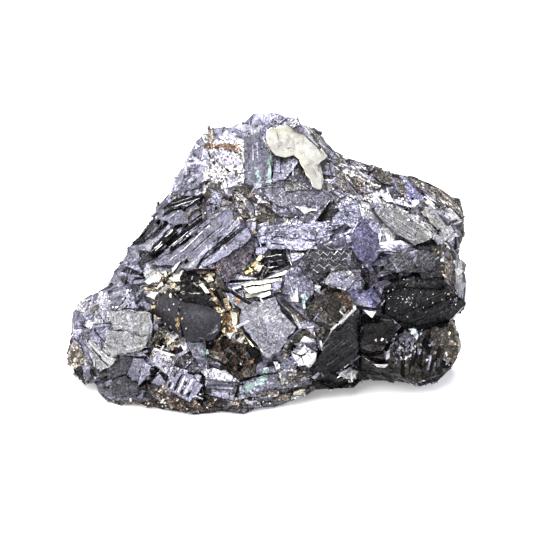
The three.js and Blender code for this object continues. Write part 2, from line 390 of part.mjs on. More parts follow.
// an outline spread evenly about its middle, so that neighbours meet
function spread(outline) {
  const [across, up] = middleOf(outline);
  const reaches = outline.map(([a, u]) => Math.hypot(a - across, u - up));
  const scale = 1 + (OVERLAP * outline.length) / reaches.reduce((sum, reach) => sum + reach, 0);
  return outline.map(([a, u]) => [across + (a - across) * scale, up + (u - up) * scale]);
}

// one crystal face of the show side, with square sides rooted in the core
function cleavageBlock(stand, leanAcross, leanUp, outline) {
  const [across, up] = middleOf(outline);
  const slope = slopeAt(FRONT, across, up);
  const slopeAcross = slope[0] + leanAcross;
  const slopeUp = slope[1] + leanUp;
  const right = new THREE.Vector3(1, 0, slopeAcross).normalize();
  const face = new THREE.Vector3(-slopeAcross, -slopeUp, 1).normalize();
  const rise = new THREE.Vector3().crossVectors(face, right);
  const place = new THREE.Vector3(across, up, depthAt(FRONT, across, up) + stand - SET_IN);
  const flat = spread(outline).map(([a, u]) => {
    const arm = new THREE.Vector3(a - across, u - up, slopeAcross * (a - across) + slopeUp * (u - up));
    return [arm.dot(right), arm.dot(rise)];
  });
  const geometry = prism(flat, BLOCK_THICKNESS);
  geometry.translate(0, 0, -BLOCK_THICKNESS);
  geometry.applyMatrix4(new THREE.Matrix4().makeBasis(right, rise, face).setPosition(place));
  return solid(geometry);
}

function ledgeSlabs({ start, run, step, fill, lifts, lean }) {
  return lifts.map((lift, i) => {
    const near = [start[0] + step[0] * i, start[1] + step[1] * i];
    const far = [near[0] + run[0], near[1] + run[1]];
    const side = [step[0] * fill, step[1] * fill];
    const outline = [near, far, [far[0] + side[0], far[1] + side[1]], [near[0] + side[0], near[1] + side[1]]];
    return cleavageBlock(lift, lean[0], lean[1], outline);
  });
}

function pocketCut(depth, outline) {
  const geometry = prism(outline, CUT_HEIGHT);
  geometry.translate(0, 0, depthAt(FRONT, ...middleOf(outline)) - depth);
  return solid(geometry);
}

function crackCuts(depth, width, points) {
  return points.slice(1).map((end, i) => {
    const start = points[i];
    const [across, up] = middleOf([start, end]);
    const length = Math.hypot(end[0] - start[0], end[1] - start[1]);
    const geometry = new THREE.BoxGeometry(length + width / 2, width, CUT_HEIGHT);
    geometry.rotateZ(Math.atan2(end[1] - start[1], end[0] - start[0]));
    geometry.translate(across, up, depthAt(FRONT, across, up) - depth + CUT_HEIGHT / 2);
    return solid(geometry);
  });
}

// a cleavage cube breaking the surface of the back or of a side
function backBox(i) {
  const turn = i * GOLDEN_ANGLE;
  const share = BACK_SPREAD * Math.sqrt((i + 0.5) / BACK_BOXES);
  const reach = rimBeyond(CENTRE[0] + Math.cos(turn), CENTRE[1] + Math.sin(turn));
  const across = CENTRE[0] + (Math.cos(turn) * share) / reach.share;
  const up = CENTRE[1] + (Math.sin(turn) * share) / reach.share;
  const [slopeAcross, slopeUp] = slopeAt(BACK, across, up);
  const outward = new THREE.Vector3(slopeAcross, slopeUp, -1).normalize();
  const sizes = [0, 1, 2].map(() => THREE.MathUtils.lerp(...BACK_BOX_SIZE, chance()));
  const geometry = new THREE.BoxGeometry(...sizes);
  geometry.rotateX(GRAIN_TURNS[i % GRAIN_TURNS.length][0]);
  geometry.rotateY(GRAIN_TURNS[i % GRAIN_TURNS.length][1]);
  geometry.rotateZ(GRAIN_TURNS[i % GRAIN_TURNS.length][2]);
  const buried = Math.min(...sizes) * THREE.MathUtils.lerp(...BACK_BOX_BURIED, chance());
  const place = new THREE.Vector3(across, up, depthAt(BACK, across, up)).addScaledVector(outward, -buried);
  geometry.translate(place.x, place.y, place.z);
  return solid(geometry);
}

// ---------------------------------------------------------------- the lump, laid out and then stood up
const layoutToStand = new THREE.Matrix4()
  .makeRotationX(Math.PI / 2 - SHOW_TILT)
  .multiply(new THREE.Matrix4().makeTranslation(0, -FLOOR_AT, 0));

function buildLump() {
  let lump = core();
  for (let i = 0; i < BACK_BOXES; i += 1) lump = lump.add(backBox(i));
  const rimOutline = RIM.map(([across, up]) => [across, up]);
  const rimPrism = prism(rimOutline, 2 * CUT_HEIGHT);
  rimPrism.translate(0, 0, -CUT_HEIGHT);
  for (const block of BLOCKS) lump = lump.add(cleavageBlock(...block));
  for (const row of LEDGES) {
    for (const slab of ledgeSlabs(row)) lump = lump.add(slab);
  }
  for (const [depth, outline] of POCKETS) lump = lump.subtract(pocketCut(depth, outline));
  for (const [depth, width, points] of CRACKS) {
    for (const cut of crackCuts(depth, width, points)) lump = lump.subtract(cut);
  }
  lump = lump.intersect(solid(rimPrism));

  // everything under the rest plane goes, so the lump stands on one flat face
  const aboveFloor = new THREE.BoxGeometry(FLOOR_SIZE, FLOOR_SIZE, FLOOR_SIZE);
  aboveFloor.translate(0, 0, FLOOR_SIZE / 2);
  aboveFloor.applyMatrix4(layoutToStand.clone().invert());
  return lump.intersect(solid(aboveFloor));
}

// the lump is solid right through, so only its outer skin is kept, without the pores left between crystals
function outerSkin({ vertProperties, triVerts }) {
  const owner = Array.from({ length: vertProperties.length / 3 }, (_, i) => i);
  const ownerOf = (vertex) => {
    let top = vertex;
    while (owner[top] !== top) top = owner[top];
    owner[vertex] = top;
    return top;
  };
  for (let i = 0; i < triVerts.length; i += 3) {
    const top = ownerOf(triVerts[i]);
    owner[ownerOf(triVerts[i + 1])] = top;
    owner[ownerOf(triVerts[i + 2])] = top;
  }
  const skins = new Map();
  for (let i = 0; i < triVerts.length; i += 3) {
    const top = ownerOf(triVerts[i]);
    if (!skins.has(top)) skins.set(top, []);
    skins.get(top).push(triVerts[i], triVerts[i + 1], triVerts[i + 2]);
  }
  const largest = [...skins.values()].reduce((a, b) => (b.length > a.length ? b : a));
  const geometry = new THREE.BufferGeometry();
  geometry.setAttribute("position", new THREE.BufferAttribute(vertProperties, 3));
  geometry.setIndex(largest);
  geometry.computeBoundingBox();
  return geometry.toNonIndexed();
}

const geometry = outerSkin(buildLump().getMesh());
geometry.applyMatrix4(layoutToStand);
geometry.computeBoundingBox();
const { min, max } = geometry.boundingBox;
geometry.translate(-(min.x + max.x) / 2, -(min.y + max.y) / 2, -min.z);

const material = new THREE.MeshStandardMaterial({ color: 0x5f5e68, roughness: 0.4, metalness: 0.85 });
const galena = new THREE.Mesh(geometry, material);
galena.name = "galena";

const group = new THREE.Group();
group.add(galena);
export default group;
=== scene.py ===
import math

import bmesh
import bpy
import numpy as np
from mathutils import Matrix, Vector
from mathutils.bvhtree import BVHTree


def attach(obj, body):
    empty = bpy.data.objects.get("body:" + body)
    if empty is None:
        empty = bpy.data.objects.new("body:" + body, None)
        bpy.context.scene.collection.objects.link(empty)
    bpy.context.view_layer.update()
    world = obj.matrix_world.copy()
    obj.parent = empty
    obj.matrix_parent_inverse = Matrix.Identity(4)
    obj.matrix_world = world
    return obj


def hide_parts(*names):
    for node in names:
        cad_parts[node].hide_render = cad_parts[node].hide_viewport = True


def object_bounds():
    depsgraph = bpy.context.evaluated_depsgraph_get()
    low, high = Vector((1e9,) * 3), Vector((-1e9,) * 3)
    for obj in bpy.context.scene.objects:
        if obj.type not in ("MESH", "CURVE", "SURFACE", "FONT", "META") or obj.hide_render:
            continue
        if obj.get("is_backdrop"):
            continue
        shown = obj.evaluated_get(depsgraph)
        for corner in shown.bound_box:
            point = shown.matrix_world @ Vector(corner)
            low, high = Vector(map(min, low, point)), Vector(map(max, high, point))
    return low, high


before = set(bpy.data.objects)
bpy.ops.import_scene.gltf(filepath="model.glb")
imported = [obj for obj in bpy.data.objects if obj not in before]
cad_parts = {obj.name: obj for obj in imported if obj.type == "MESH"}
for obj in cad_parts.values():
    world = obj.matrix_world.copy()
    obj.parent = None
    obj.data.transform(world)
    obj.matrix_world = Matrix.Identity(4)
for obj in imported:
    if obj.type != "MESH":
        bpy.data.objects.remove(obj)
cad_low, cad_high = (Vector(corner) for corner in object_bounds())

MM = 0.001
SHOW_TILT = math.radians(20)      # the show side is laid out leaning back by this much
FLOOR_AT = 7.5                    # height of the rest plane on the layout, mm
SHIFT = (0.3, -3.677)             # layout to the specimen's own frame, mm
EDGE = 1.14                       # longest edge of the worked surface on the show side, mm
EDGE_BEHIND = 2.2                 # and on the sides and back
PLATE_BEHIND = 3.0                # how much larger the plates are there
RIM_WIDTH = 0.11                  # bevelled rim of a plate, mm
RIM_DROP = 0.03                   # how far the rim falls away, mm
RIM_SPREAD = 0.35                 # how much its tone differs from the plate's
RIM_LEAST = 0.15                  # area over perimeter of the smallest plate that gets one, mm
BASE = 0.05                       # height of the part that lies on the table, mm
WHOLE_PLATE = 7.0                 # how much larger the plates of a great face are
WHOLE_CALM = 0.4                  # and how much less they step, lean and change tone
SIGHT = 60                        # how far in front of the layout a line of sight starts, mm
VIEW_SIDE = Vector((0, -math.cos(SHOW_TILT), math.sin(SHOW_TILT)))

rng = np.random.default_rng(407)


def stand(across, up, depth):
    """A point of the show side's layout, in millimetres, as a point of the specimen in metres."""
    rise = up - FLOOR_AT
    y = rise * math.sin(SHOW_TILT) - depth * math.cos(SHOW_TILT) + SHIFT[1]
    z = rise * math.cos(SHOW_TILT) + depth * math.sin(SHOW_TILT)
    return Vector(((across + SHIFT[0]) * MM, y * MM, z * MM))


def layout(points):
    """Points of the specimen, in metres, as across, up and depth on the layout, in millimetres."""
    p = np.asarray(points, dtype=float).reshape(-1, 3) / MM
    across = p[:, 0] - SHIFT[0]
    y, z = p[:, 1] - SHIFT[1], p[:, 2]
    up = y * math.sin(SHOW_TILT) + z * math.cos(SHOW_TILT) + FLOOR_AT
    depth = z * math.sin(SHOW_TILT) - y * math.cos(SHOW_TILT)
    return across, up, depth


# ------------------------------------------------------------------ finishes of the faces
# name: tint, roughness, graininess 0..1, cleavage lines 0..1
FINISHES = {
    "mirror":    ((0.56, 0.54, 0.49), 0.26, 0.03, 0.06),
    "pale":      ((0.30, 0.295, 0.35), 0.32, 0.40, 0.30),
    "white":     ((0.70, 0.69, 0.73), 0.28, 0.20, 0.30),
    "silver":    ((0.42, 0.415, 0.44), 0.28, 0.25, 0.70),
    "lavender":  ((0.218, 0.214, 0.284), 0.36, 0.40, 0.40),
    "lilac":     ((0.198, 0.195, 0.254), 0.36, 0.48, 0.24),
    "violet":    ((0.134, 0.129, 0.212), 0.38, 0.42, 0.15),
    "hatched":   ((0.125, 0.124, 0.142), 0.30, 0.34, 1.00),
    "plum":      ((0.088, 0.078, 0.097), 0.36, 0.44, 0.30),
    "slate":     ((0.140, 0.137, 0.178), 0.34, 0.38, 0.35),
    "grey":      ((0.33, 0.327, 0.345), 0.30, 0.40, 0.45),
    "satin":     ((0.085, 0.082, 0.098), 0.34, 0.20, 0.08),
    "dark":      ((0.052, 0.050, 0.058), 0.28, 0.48, 0.25),
    "night":     ((0.010, 0.0095, 0.0105), 0.24, 0.52, 0.20),
    "umber":     ((0.076, 0.067, 0.061), 0.34, 0.70, 0.25),
    "earth":     ((0.155, 0.135, 0.125), 0.50, 1.00, 0.00),
    "rust":      ((0.13, 0.085, 0.065), 0.55, 1.00, 0.00),
    "gold":      ((0.46, 0.38, 0.26), 0.40, 0.70, 0.10),
    "gilt":      ((0.50, 0.38, 0.17), 0.38, 0.60, 0.00),
    "ochre":     ((0.29, 0.17, 0.095), 0.50, 0.80, 0.00),
    "cream":     ((0.53, 0.51, 0.455), 0.30, 0.20, 0.50),
    "sugar":     ((0.50, 0.49, 0.51), 0.36, 0.85, 0.00),
    "teal":      ((0.36, 0.47, 0.47), 0.32, 0.25, 0.20),
    "glass":     ((0.50, 0.50, 0.51), 0.20, 0.40, 0.20),
    "break":     ((0.15, 0.147, 0.18), 0.36, 0.45, 0.40),
}
# how each finish breaks: plate size mm2, step mm, lean degrees, spread of tone, share of glinting plates
BREAKS = {
    "mirror": (900, 0, 0, 0.02, 0), "pale": (9, 0.05, 1.2, 0.10, 0.01), "white": (3, 0.07, 4, 0.2, 0),
    "silver": (2.2, 0.09, 4, 0.25, 0.04), "lavender": (2.6, 0.08, 4, 0.2, 0.03),
    "lilac": (9, 0.05, 1.5, 0.12, 0), "violet": (7, 0.05, 2, 0.12, 0), "plum": (5, 0.07, 3, 0.15, 0.01),
    "hatched": (3, 0.07, 3, 0.25, 0.02), "slate": (2.6, 0.08, 4, 0.2, 0.03),
    "grey": (14, 0.04, 1.2, 0.08, 0), "satin": (90, 0.02, 0.5, 0.06, 0), "dark": (2.8, 0.08, 4, 0.3, 0.03),
    "night": (3.2, 0.08, 4, 0.35, 0.02), "umber": (2.4, 0.1, 6, 0.22, 0.02),
    "earth": (1.0, 0.14, 13, 0.22, 0.03),
    "rust": (1.0, 0.17, 15, 0.35, 0.01), "gold": (1.0, 0.15, 14, 0.3, 0.06), "gilt": (1.0, 0.15, 14, 0.3, 0),
    "ochre": (1.0, 0.15, 14, 0.3, 0), "cream": (2.4, 0.09, 5, 0.2, 0.03),
    "sugar": (0.9, 0.12, 12, 0.18, 0.03), "teal": (3, 0.07, 3, 0.15, 0),
    "glass": (1.5, 0.12, 8, 0.3, 0.06), "break": (1.4, 0.14, 9, 0.35, 0.05),
}
GLINTS = ["silver", "night", "silver", "night", "pale"]

# which finish each crystal face has, by a place on it: across and up on the layout, mm
FACES = {
    "mirror": [(4, 54.5), (9, 49)],
    "pale": [(0, 18), (-9.5, 7.8), (15, 39.5), (5.2, 33.4), (-21, 10.2)],
    "white": [(31, 38.6), (34, 8.6), (7, 11), (7.6, 17.6), (6, 31)],
    "silver": [(15.5, 8.3), (14, 26.2), (24, 32.7), (11.2, 14.4), (37, 26.5)],
    "lavender": [(-4, 50), (-14, 32.5), (-9, 31.2), (4, 35.7), (-35, 19.5), (-14, 12.8), (-1.5, 5),
                 (-27, 22.4), (0, 9), (3, 48.6)],
    "violet": [(19.5, 34), (28, 43.5), (19.5, 21)],
    "plum": [(-6, 29.4)],
    "slate": [(4, 42), (-28, 8.6), (-10, 3.8), (4.2, 24.4), (7, 24), (-10, 42), (-15, 48)],
    "satin": [(-13.5, 18.7)],
    "grey": [(26, 38), (35.4, 37), (-27, 18.4), (-28, 14.4)],
    "dark": [(15, 34), (25.5, 28.5), (31.8, 28), (32, 32), (22, 17.6), (12.5, 29.5), (-27.3, 27),
             (-36.4, 12.6), (-29.5, 3.9), (-22, 15.8), (6.2, 47.8)],
    "night": [(30, 21.5), (22, 13.8), (13, 10), (-11, 25.2), (1, 29.4), (-14.5, 24.4), (-25.8, 30.4),
              (7.6, 15), (-9, 24.2)],
    "umber": [(33, 43), (37.6, 38), (13, 20.5), (-19.6, 20.6), (10, 53.4)],
    "earth": [(15, 46.2), (31, 11.5), (-3, 40.2), (-3.6, 12.6), (1.5, 2.2), (-37.4, 10), (-4.4, 1.7)],
    "rust": [(-19, 3)],
    "gold": [(-20, 25.4), (-8, 18), (-18, 13.4)],
    "cream": [(-2.4, 27.8), (-34, 12.6), (-10.2, 10.9), (6.4, 3.2)],
    "sugar": [(-8, 49), (5, 7.2)],
    "glass": [(-22.3, 27.4), (-24, 29.4)],
}
# what the other faces are like: across, up and reach on the layout, mm, and the finishes found there
ZONES = [
    (-6, 50, 8, "lavender pale slate sugar earth"), (-14, 46, 6, "lavender slate pale dark"),
    (10, 47, 7, "lavender slate earth umber"), (-19, 36, 8, "dark lavender night silver slate"),
    (-10, 39, 6, "lavender slate pale earth"), (0, 41, 6, "earth slate umber lavender"),
    (-6, 32, 7, "lavender slate plum pale"), (3, 32, 6, "night pale silver lavender dark"),
    (7, 38, 5, "lavender pale silver slate"), (18, 43, 6, "earth umber silver lavender dark"),
    (20, 36, 6, "lavender violet slate dark"), (31, 41, 8, "umber silver lavender dark night"),
    (33, 34, 6, "silver pale dark night"), (26, 29, 6, "dark night silver slate"),
    (36, 27, 5, "dark umber white night"), (19, 25, 5, "plum night slate lavender"),
    (30, 21, 8, "night night dark umber"), (22, 14, 6, "night dark umber umber"),
    (32, 12, 7, "night earth umber dark"), (13, 12, 7, "night umber dark"),
    (12, 22, 5, "umber umber earth dark"), (5, 23, 5, "slate dark night lavender"),
    (6, 12, 5, "night white umber silver dark"), (0, 7, 6, "earth lavender umber dark slate"),
    (-7, 12, 5, "umber rust night gold"), (-11, 5, 6, "slate lavender night pale"),
    (-19, 9, 6, "lavender night white umber pale"), (-27, 7, 6, "slate dark lavender umber"),
    (-22, 2, 7, "earth rust umber dark"), (-36, 11, 6, "cream lavender earth umber silver"),
    (-35, 20, 6, "lavender pale silver umber cream"), (-27, 16, 6, "grey lavender dark silver"),
    (-26, 25, 6, "lavender dark slate pale"), (-20, 23, 5, "gold umber night cream"),
    (-13, 25, 6, "night night dark cream"), (-8, 18, 4, "gold ochre umber night"),
]
BEHIND = "lavender slate dark lavender umber pale break night slate grey"
REGION_RAGGED = 0.5               # how far a region's border strays, mm
REGION_BACK = -12                 # depth where the regions end, mm
EDGE_LIMITS = (4.0, 2.6, 1.7, 1.2, 1.0)   # lengths that long edges are brought down to in turn, mm
SPLITS = 3                        # most rounds of splitting at each of them
HASH_PRIMES = (73856093, 19349663, 83492791)   # spread the cells of the soft noise over its table
# soft noise on the edges and on grainy faces: size mm, throw mm, seed
EDGE_THROWS = ((1.7, 0.16, 11), (0.7, 0.1, 12))
GRAIN_THROWS = ((0.8, 0.22, 13), (2.1, 0.2, 14))
THROW_ON_EDGE, THROW_ON_FACE = 0.8, 0.12   # share of the edge noise on a face's edge and inside it


# ------------------------------------------------------------------ the worked surface
def take_copy(node, name):
    """A copy of a solid with its corners welded and its flat faces whole again."""
    bpy.ops.object.select_all(action="DESELECT")
    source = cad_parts[node]
    source.select_set(True)
    bpy.context.view_layer.objects.active = source
    bpy.ops.object.duplicate()
    piece = bpy.context.object
    piece.name = piece.data.name = name
    bpy.ops.object.mode_set(mode="EDIT")
    bpy.ops.mesh.select_all(action="SELECT")
    bpy.ops.mesh.remove_doubles(threshold=2e-6)
    bpy.ops.mesh.dissolve_limited(angle_limit=math.radians(0.6))
    bpy.ops.object.mode_set(mode="OBJECT")
    return piece


def name_faces(mesh):
    """The finish of each flat face: named ones from the show side, the rest by zone."""
    names = list(FINISHES)
    count = len(mesh.polygons)
    centres = np.array([polygon.center for polygon in mesh.polygons])
    across, up, _ = layout(centres)
    facing = np.array([polygon.normal.dot(VIEW_SIDE) for polygon in mesh.polygons])
    reach = np.array([zone[2] for zone in ZONES])
    gaps = np.hypot(across[:, None] - [zone[0] for zone in ZONES], up[:, None] - [zone[1] for zone in ZONES])
    nearest = (gaps / reach + rng.random(gaps.shape) * 0.5).argmin(axis=1)
    kind = np.zeros(count, dtype=np.int32)
    for i in range(count):
        found = (ZONES[nearest[i]][3] if facing[i] > -0.2 else BEHIND).split()
        if facing[i] < 0.5 and rng.random() < 0.4:
            found = ["break"]
        kind[i] = names.index(found[rng.integers(len(found))])
    tree = BVHTree.FromPolygons([v.co for v in mesh.vertices], [p.vertices for p in mesh.polygons])
    for name, places in FACES.items():
        for place in places:
            hit = tree.ray_cast(stand(*place, SIGHT), -VIEW_SIDE)
            if hit[2] is not None:
                kind[hit[2]] = names.index(name)
    return kind


def mark_faces(mesh, kind):
    """Keeps each face's finish, tone and number with the mesh, and returns its cleavage directions."""
    count = len(mesh.polygons)
    tone = np.ones(count)
    mesh.attributes.new("finish", "INT", "FACE").data.foreach_set("value", kind)
    mesh.attributes.new("tone", "FLOAT", "FACE").data.foreach_set("value", tone.astype(np.float32))
    mesh.attributes.new("facet", "INT", "FACE").data.foreach_set("value", np.arange(count, dtype=np.int32))
    frames = np.zeros((count, 9))
    for polygon in mesh.polygons:
        corners = [mesh.vertices[i].co for i in polygon.vertices]
        sides = [b - a for a, b in zip(corners, corners[1:] + corners[:1])]
        along = max(sides, key=lambda side: side.length).normalized()
        normal = polygon.normal
        across = normal.cross(along).normalized()
        along = across.cross(normal).normalized()
        frames[polygon.index] = [*along, *across, *normal]
    return frames


def inside(outline, across, up):
    """Which places on the layout lie inside an outline."""
    within = np.zeros(len(across), dtype=bool)
    for (ax, ay), (bx, by) in zip(outline, outline[1:] + outline[:1]):
        if ay == by:
            continue
        crosses = (ay > up) != (by > up)
        within ^= crosses & (across < ax + (up - ay) * (bx - ax) / (by - ay))
    return within


def name_regions(mesh):
    """Gives the plates of the show side the finishes of the region that they lie in."""
    names = list(FINISHES)
    centres = read(mesh, "polygons", "center", np.float64, 3)
    facing = read(mesh, "polygons", "normal", np.float64, 3) @ np.array(VIEW_SIDE)
    finish = read_attribute(mesh, "finish")
    tone = read_attribute(mesh, "tone", np.float32)
    across, up, depth = layout(centres)
    uneven = smooth_noise(centres / MM, 1.3, 21) * REGION_RAGGED
    across, up = across + uneven[:, 0], up + uneven[:, 1]
    loose = (facing > 0) & (depth > REGION_BACK)
    for finishes, strength, outline in REGIONS:
        here = np.flatnonzero(loose & inside(outline, across, up))
        kinds = np.array([names.index(name) for name in finishes.split()])
        finish[here] = kinds[rng.integers(len(kinds), size=len(here))]
        tone[here] = strength
    mesh.attributes["finish"].data.foreach_set("value", finish)
    mesh.attributes["tone"].data.foreach_set("value", tone)


def cut_line(face, frame_axes, lined):
    """A point and a direction that cut a face along its cleavage."""
    along, across = Vector(frame_axes[0:3]), Vector(frame_axes[3:6])
    turn = rng.normal() * (0.12 if lined < 1 else 0.04)
    if rng.random() > lined:
        turn += math.pi / 2 if rng.random() < 0.75 else math.pi / 4
    line = along * math.cos(turn) + across * math.sin(turn)
    share = rng.dirichlet([1.4] * len(face.verts))
    place = sum((vert.co * part for vert, part in zip(face.verts, share)), Vector())
    return place, face.normal.cross(line)


def cleave(mesh, frames, first_great):
    """Breaks each face into plates along its cleavage, the great faces into fewer."""
    names = list(FINISHES)
    bm = bmesh.new()
    bm.from_mesh(mesh)
    bm.normal_update()
    finish = bm.faces.layers.int["finish"]
    facet = bm.faces.layers.int["facet"]
    waiting = [face for face in bm.faces if face.calc_center_median().z > BASE * MM]
    while waiting:
        face = waiting.pop()
        name = names[face[finish]]
        size = BREAKS[name][0] * rng.uniform(0.6, 2.4)
        if face.normal.dot(VIEW_SIDE) < 0.1:
            size *= PLATE_BEHIND
        if face[facet] >= first_great:
            size *= WHOLE_PLATE
        if face.calc_area() < size * MM ** 2:
            continue
        lined = 1.0 if face[facet] >= first_great else 0.5 + 0.35 * FINISHES[name][3]
        place, square = cut_line(face, frames[face[facet]], lined)
        made = bmesh.ops.bisect_plane(bm, geom=[face, *face.edges, *face.verts], dist=1e-7,
                                      plane_co=place, plane_no=square)
        parts = [item for item in made["geom"] if isinstance(item, bmesh.types.BMFace)]
        if len(parts) > 1:
            waiting.extend(parts)
    bm.to_mesh(mesh)
    bm.free()
    mesh.update()


def lift_plates(mesh, first_great):
    """Sets every plate a little higher or lower, leans it, and gives it a narrow broken rim."""
    names = list(FINISHES)
    bm = bmesh.new()
    bm.from_mesh(mesh)
    bm.normal_update()
    finish = bm.faces.layers.int["finish"]
    tone = bm.faces.layers.float["tone"]
    facet = bm.faces.layers.int["facet"]
    wide, moves, falls = [], {}, {}
    for face in bm.faces:
        _, step, lean, spread, glint = BREAKS[names[face[finish]]]
        if face[facet] >= first_great:
            step, lean, spread, glint = step * WHOLE_CALM, lean * WHOLE_CALM, spread * WHOLE_CALM, 0
        if face.calc_center_median().z < BASE * MM:
            continue
        face[tone] *= math.exp(rng.normal() * spread)
        if rng.random() < glint:
            face[finish] = names.index(GLINTS[rng.integers(len(GLINTS))])
        if face.calc_area() < RIM_LEAST * MM * face.calc_perimeter():
            continue
        level = rng.normal() * step * MM
        aside = face.normal.cross(Vector(rng.normal(size=3))).normalized()
        slope = aside * math.tan(math.radians(lean)) * rng.random()
        moves[face] = (level, slope, face.calc_center_median(), face.normal.copy())
        wide.append(face)
    for vert in bm.verts:
        if vert.co.z < BASE * MM:
            continue
        rises = []
        for face in vert.link_faces:
            if face in moves:
                level, slope, middle, _ = moves[face]
                rises.append(level + slope.dot(vert.co - middle))
            else:
                rises.append(0.0)
        falls[vert] = vert.normal * (min(rises) - RIM_DROP * MM)
    made = bmesh.ops.inset_individual(bm, faces=wide, thickness=RIM_WIDTH * MM, use_even_offset=False)
    for face in made["faces"]:
        face[tone] *= math.exp(rng.normal() * RIM_SPREAD)
    for face in wide:
        level, slope, middle, normal = moves[face]
        for vert in face.verts:
            vert.co += normal * (level + slope.dot(vert.co - middle))
    for vert, fall in falls.items():
        vert.co += fall
    bm.to_mesh(mesh)
    bm.free()
    mesh.update()


def refine(mesh):
    """Splits long edges until the surface is fine enough to be worked."""
    bm = bmesh.new()
    bm.from_mesh(mesh)
    bmesh.ops.triangulate(bm, faces=bm.faces[:], quad_method="BEAUTY", ngon_method="BEAUTY")
    for limit in EDGE_LIMITS:
        for _ in range(SPLITS):
            long_edges = []
            for edge in bm.edges:
                middle = (edge.verts[0].co + edge.verts[1].co) / 2
                normal = sum((face.normal for face in edge.link_faces), Vector())
                seen = normal.dot(VIEW_SIDE) > 0.1 * normal.length
                least = EDGE if seen else EDGE_BEHIND
                if middle.z < BASE * MM:
                    least = 3 * EDGE_BEHIND
                if edge.calc_length() > max(limit, least) * MM:
                    long_edges.append(edge)
            if not long_edges:
                break
            bmesh.ops.subdivide_edges(bm, edges=long_edges, cuts=1, use_grid_fill=False)
            bmesh.ops.triangulate(bm, faces=[f for f in bm.faces if len(f.verts) > 3],
                                  quad_method="SHORT_EDGE", ngon_method="BEAUTY")
    bm.to_mesh(mesh)
    bm.free()
    mesh.update()


def smooth_noise(points, size, seed):
    """Three channels of soft noise, -1 to 1, over points in millimetres."""
    steps = np.random.default_rng(seed)
    table = steps.random((4096, 3)) * 2 - 1
    p = points / size
    cell = np.floor(p).astype(np.int64)
    part = p - cell
    part = part * part * (3 - 2 * part)
    total = np.zeros((len(points), 3))
    for dx in (0, 1):
        for dy in (0, 1):
            for dz in (0, 1):
                key = np.zeros(len(points), dtype=np.int64)
                for axis, (shift, prime) in enumerate(zip((dx, dy, dz), HASH_PRIMES)):
                    key ^= (cell[:, axis] + shift) * prime
                weight = (part[:, 0] if dx else 1 - part[:, 0]) * (part[:, 1] if dy else 1 - part[:, 1])
                weight = weight * (part[:, 2] if dz else 1 - part[:, 2])
                total += table[key % 4096] * weight[:, None]
    return total


def read(mesh, domain, name, kind=np.int32, width=1):
    """One value, or a few, for every item of a mesh."""
    items = getattr(mesh, domain)
    values = np.empty(len(items) * width, dtype=kind)
    items.foreach_get(name, values)
    return values.reshape(-1, width) if width > 1 else values


def read_attribute(mesh, name, kind=np.int32):
    """The values that a mesh keeps under a name."""
    values = np.empty(len(mesh.attributes[name].data), dtype=kind)
    mesh.attributes[name].data.foreach_get("value", values)
    return values


def chip(mesh):
    """Throws the edges a little out of line and breaks up the grainy faces."""
    grain_of = np.array([FINISHES[name][2] for name in FINISHES])
    points = read(mesh, "vertices", "co", np.float64, 3) / MM
    finish = read_attribute(mesh, "finish")
    facet = read_attribute(mesh, "facet")
    corners = read(mesh, "polygons", "vertices", np.int32, 3)
    count = len(points)
    grain = np.zeros(count)
    lowest = np.full(count, 1 << 30)
    highest = np.full(count, -1)
    for k in range(3):
        np.maximum.at(grain, corners[:, k], grain_of[finish])
        np.minimum.at(lowest, corners[:, k], facet)
        np.maximum.at(highest, corners[:, k], facet)
    on_edge = lowest != highest
    thrown = sum(smooth_noise(points, size, seed) * throw for size, throw, seed in EDGE_THROWS)
    rough = sum(smooth_noise(points, size, seed) * throw for size, throw, seed in GRAIN_THROWS)
    strength = np.where(on_edge, THROW_ON_EDGE, THROW_ON_FACE)[:, None]
    moved = points + thrown * strength + rough * np.clip(grain * 1.3 - 0.35, 0, 1)[:, None]
    on_base = points[:, 2] < BASE
    moved[on_base] = points[on_base]
    moved[:, 2] = np.maximum(moved[:, 2], 0)
    moved = np.clip(moved, np.array(cad_low) / MM, np.array(cad_high) / MM)
    mesh.vertices.foreach_set("co", (moved * MM).ravel())
    mesh.update()


# ------------------------------------------------------------------ small crystals on the faces
# finish: small crystals of each sort on a square millimetre, (ledges, cubes, grains)
COVER = {
    "mirror": (0.0, 0.0, 0.0), "pale": (0.10, 0.03, 0.0), "white": (0.08, 0.05, 0.0),
    "silver": (0.25, 0.06, 0.0), "lavender": (0.22, 0.12, 0.0), "violet": (0.10, 0.06, 0.0),
    "lilac": (0.16, 0.08, 0.0), "hatched": (0.3, 0.08, 0.0),
    "plum": (0.15, 0.08, 0.0), "slate": (0.20, 0.12, 0.0), "grey": (0.06, 0.01, 0.0),
    "satin": (0.02, 0.0, 0.0), "dark": (0.2, 0.08, 0.0), "night": (0.16, 0.10, 0.0),
    "umber": (0.16, 0.12, 0.3), "earth": (0.0, 0.3, 1.6), "rust": (0.0, 0.3, 1.2), "gold": (0.0, 0.4, 1.0),
    "gilt": (0.0, 0.2, 1.0), "ochre": (0.0, 0.2, 1.0), "cream": (0.14, 0.12, 0.1), "sugar": (0.0, 0.4, 2.0),
    "teal": (0.05, 0.10, 0.0), "glass": (0.02, 0.05, 0.0), "break": (0.22, 0.40, 0.1),
}
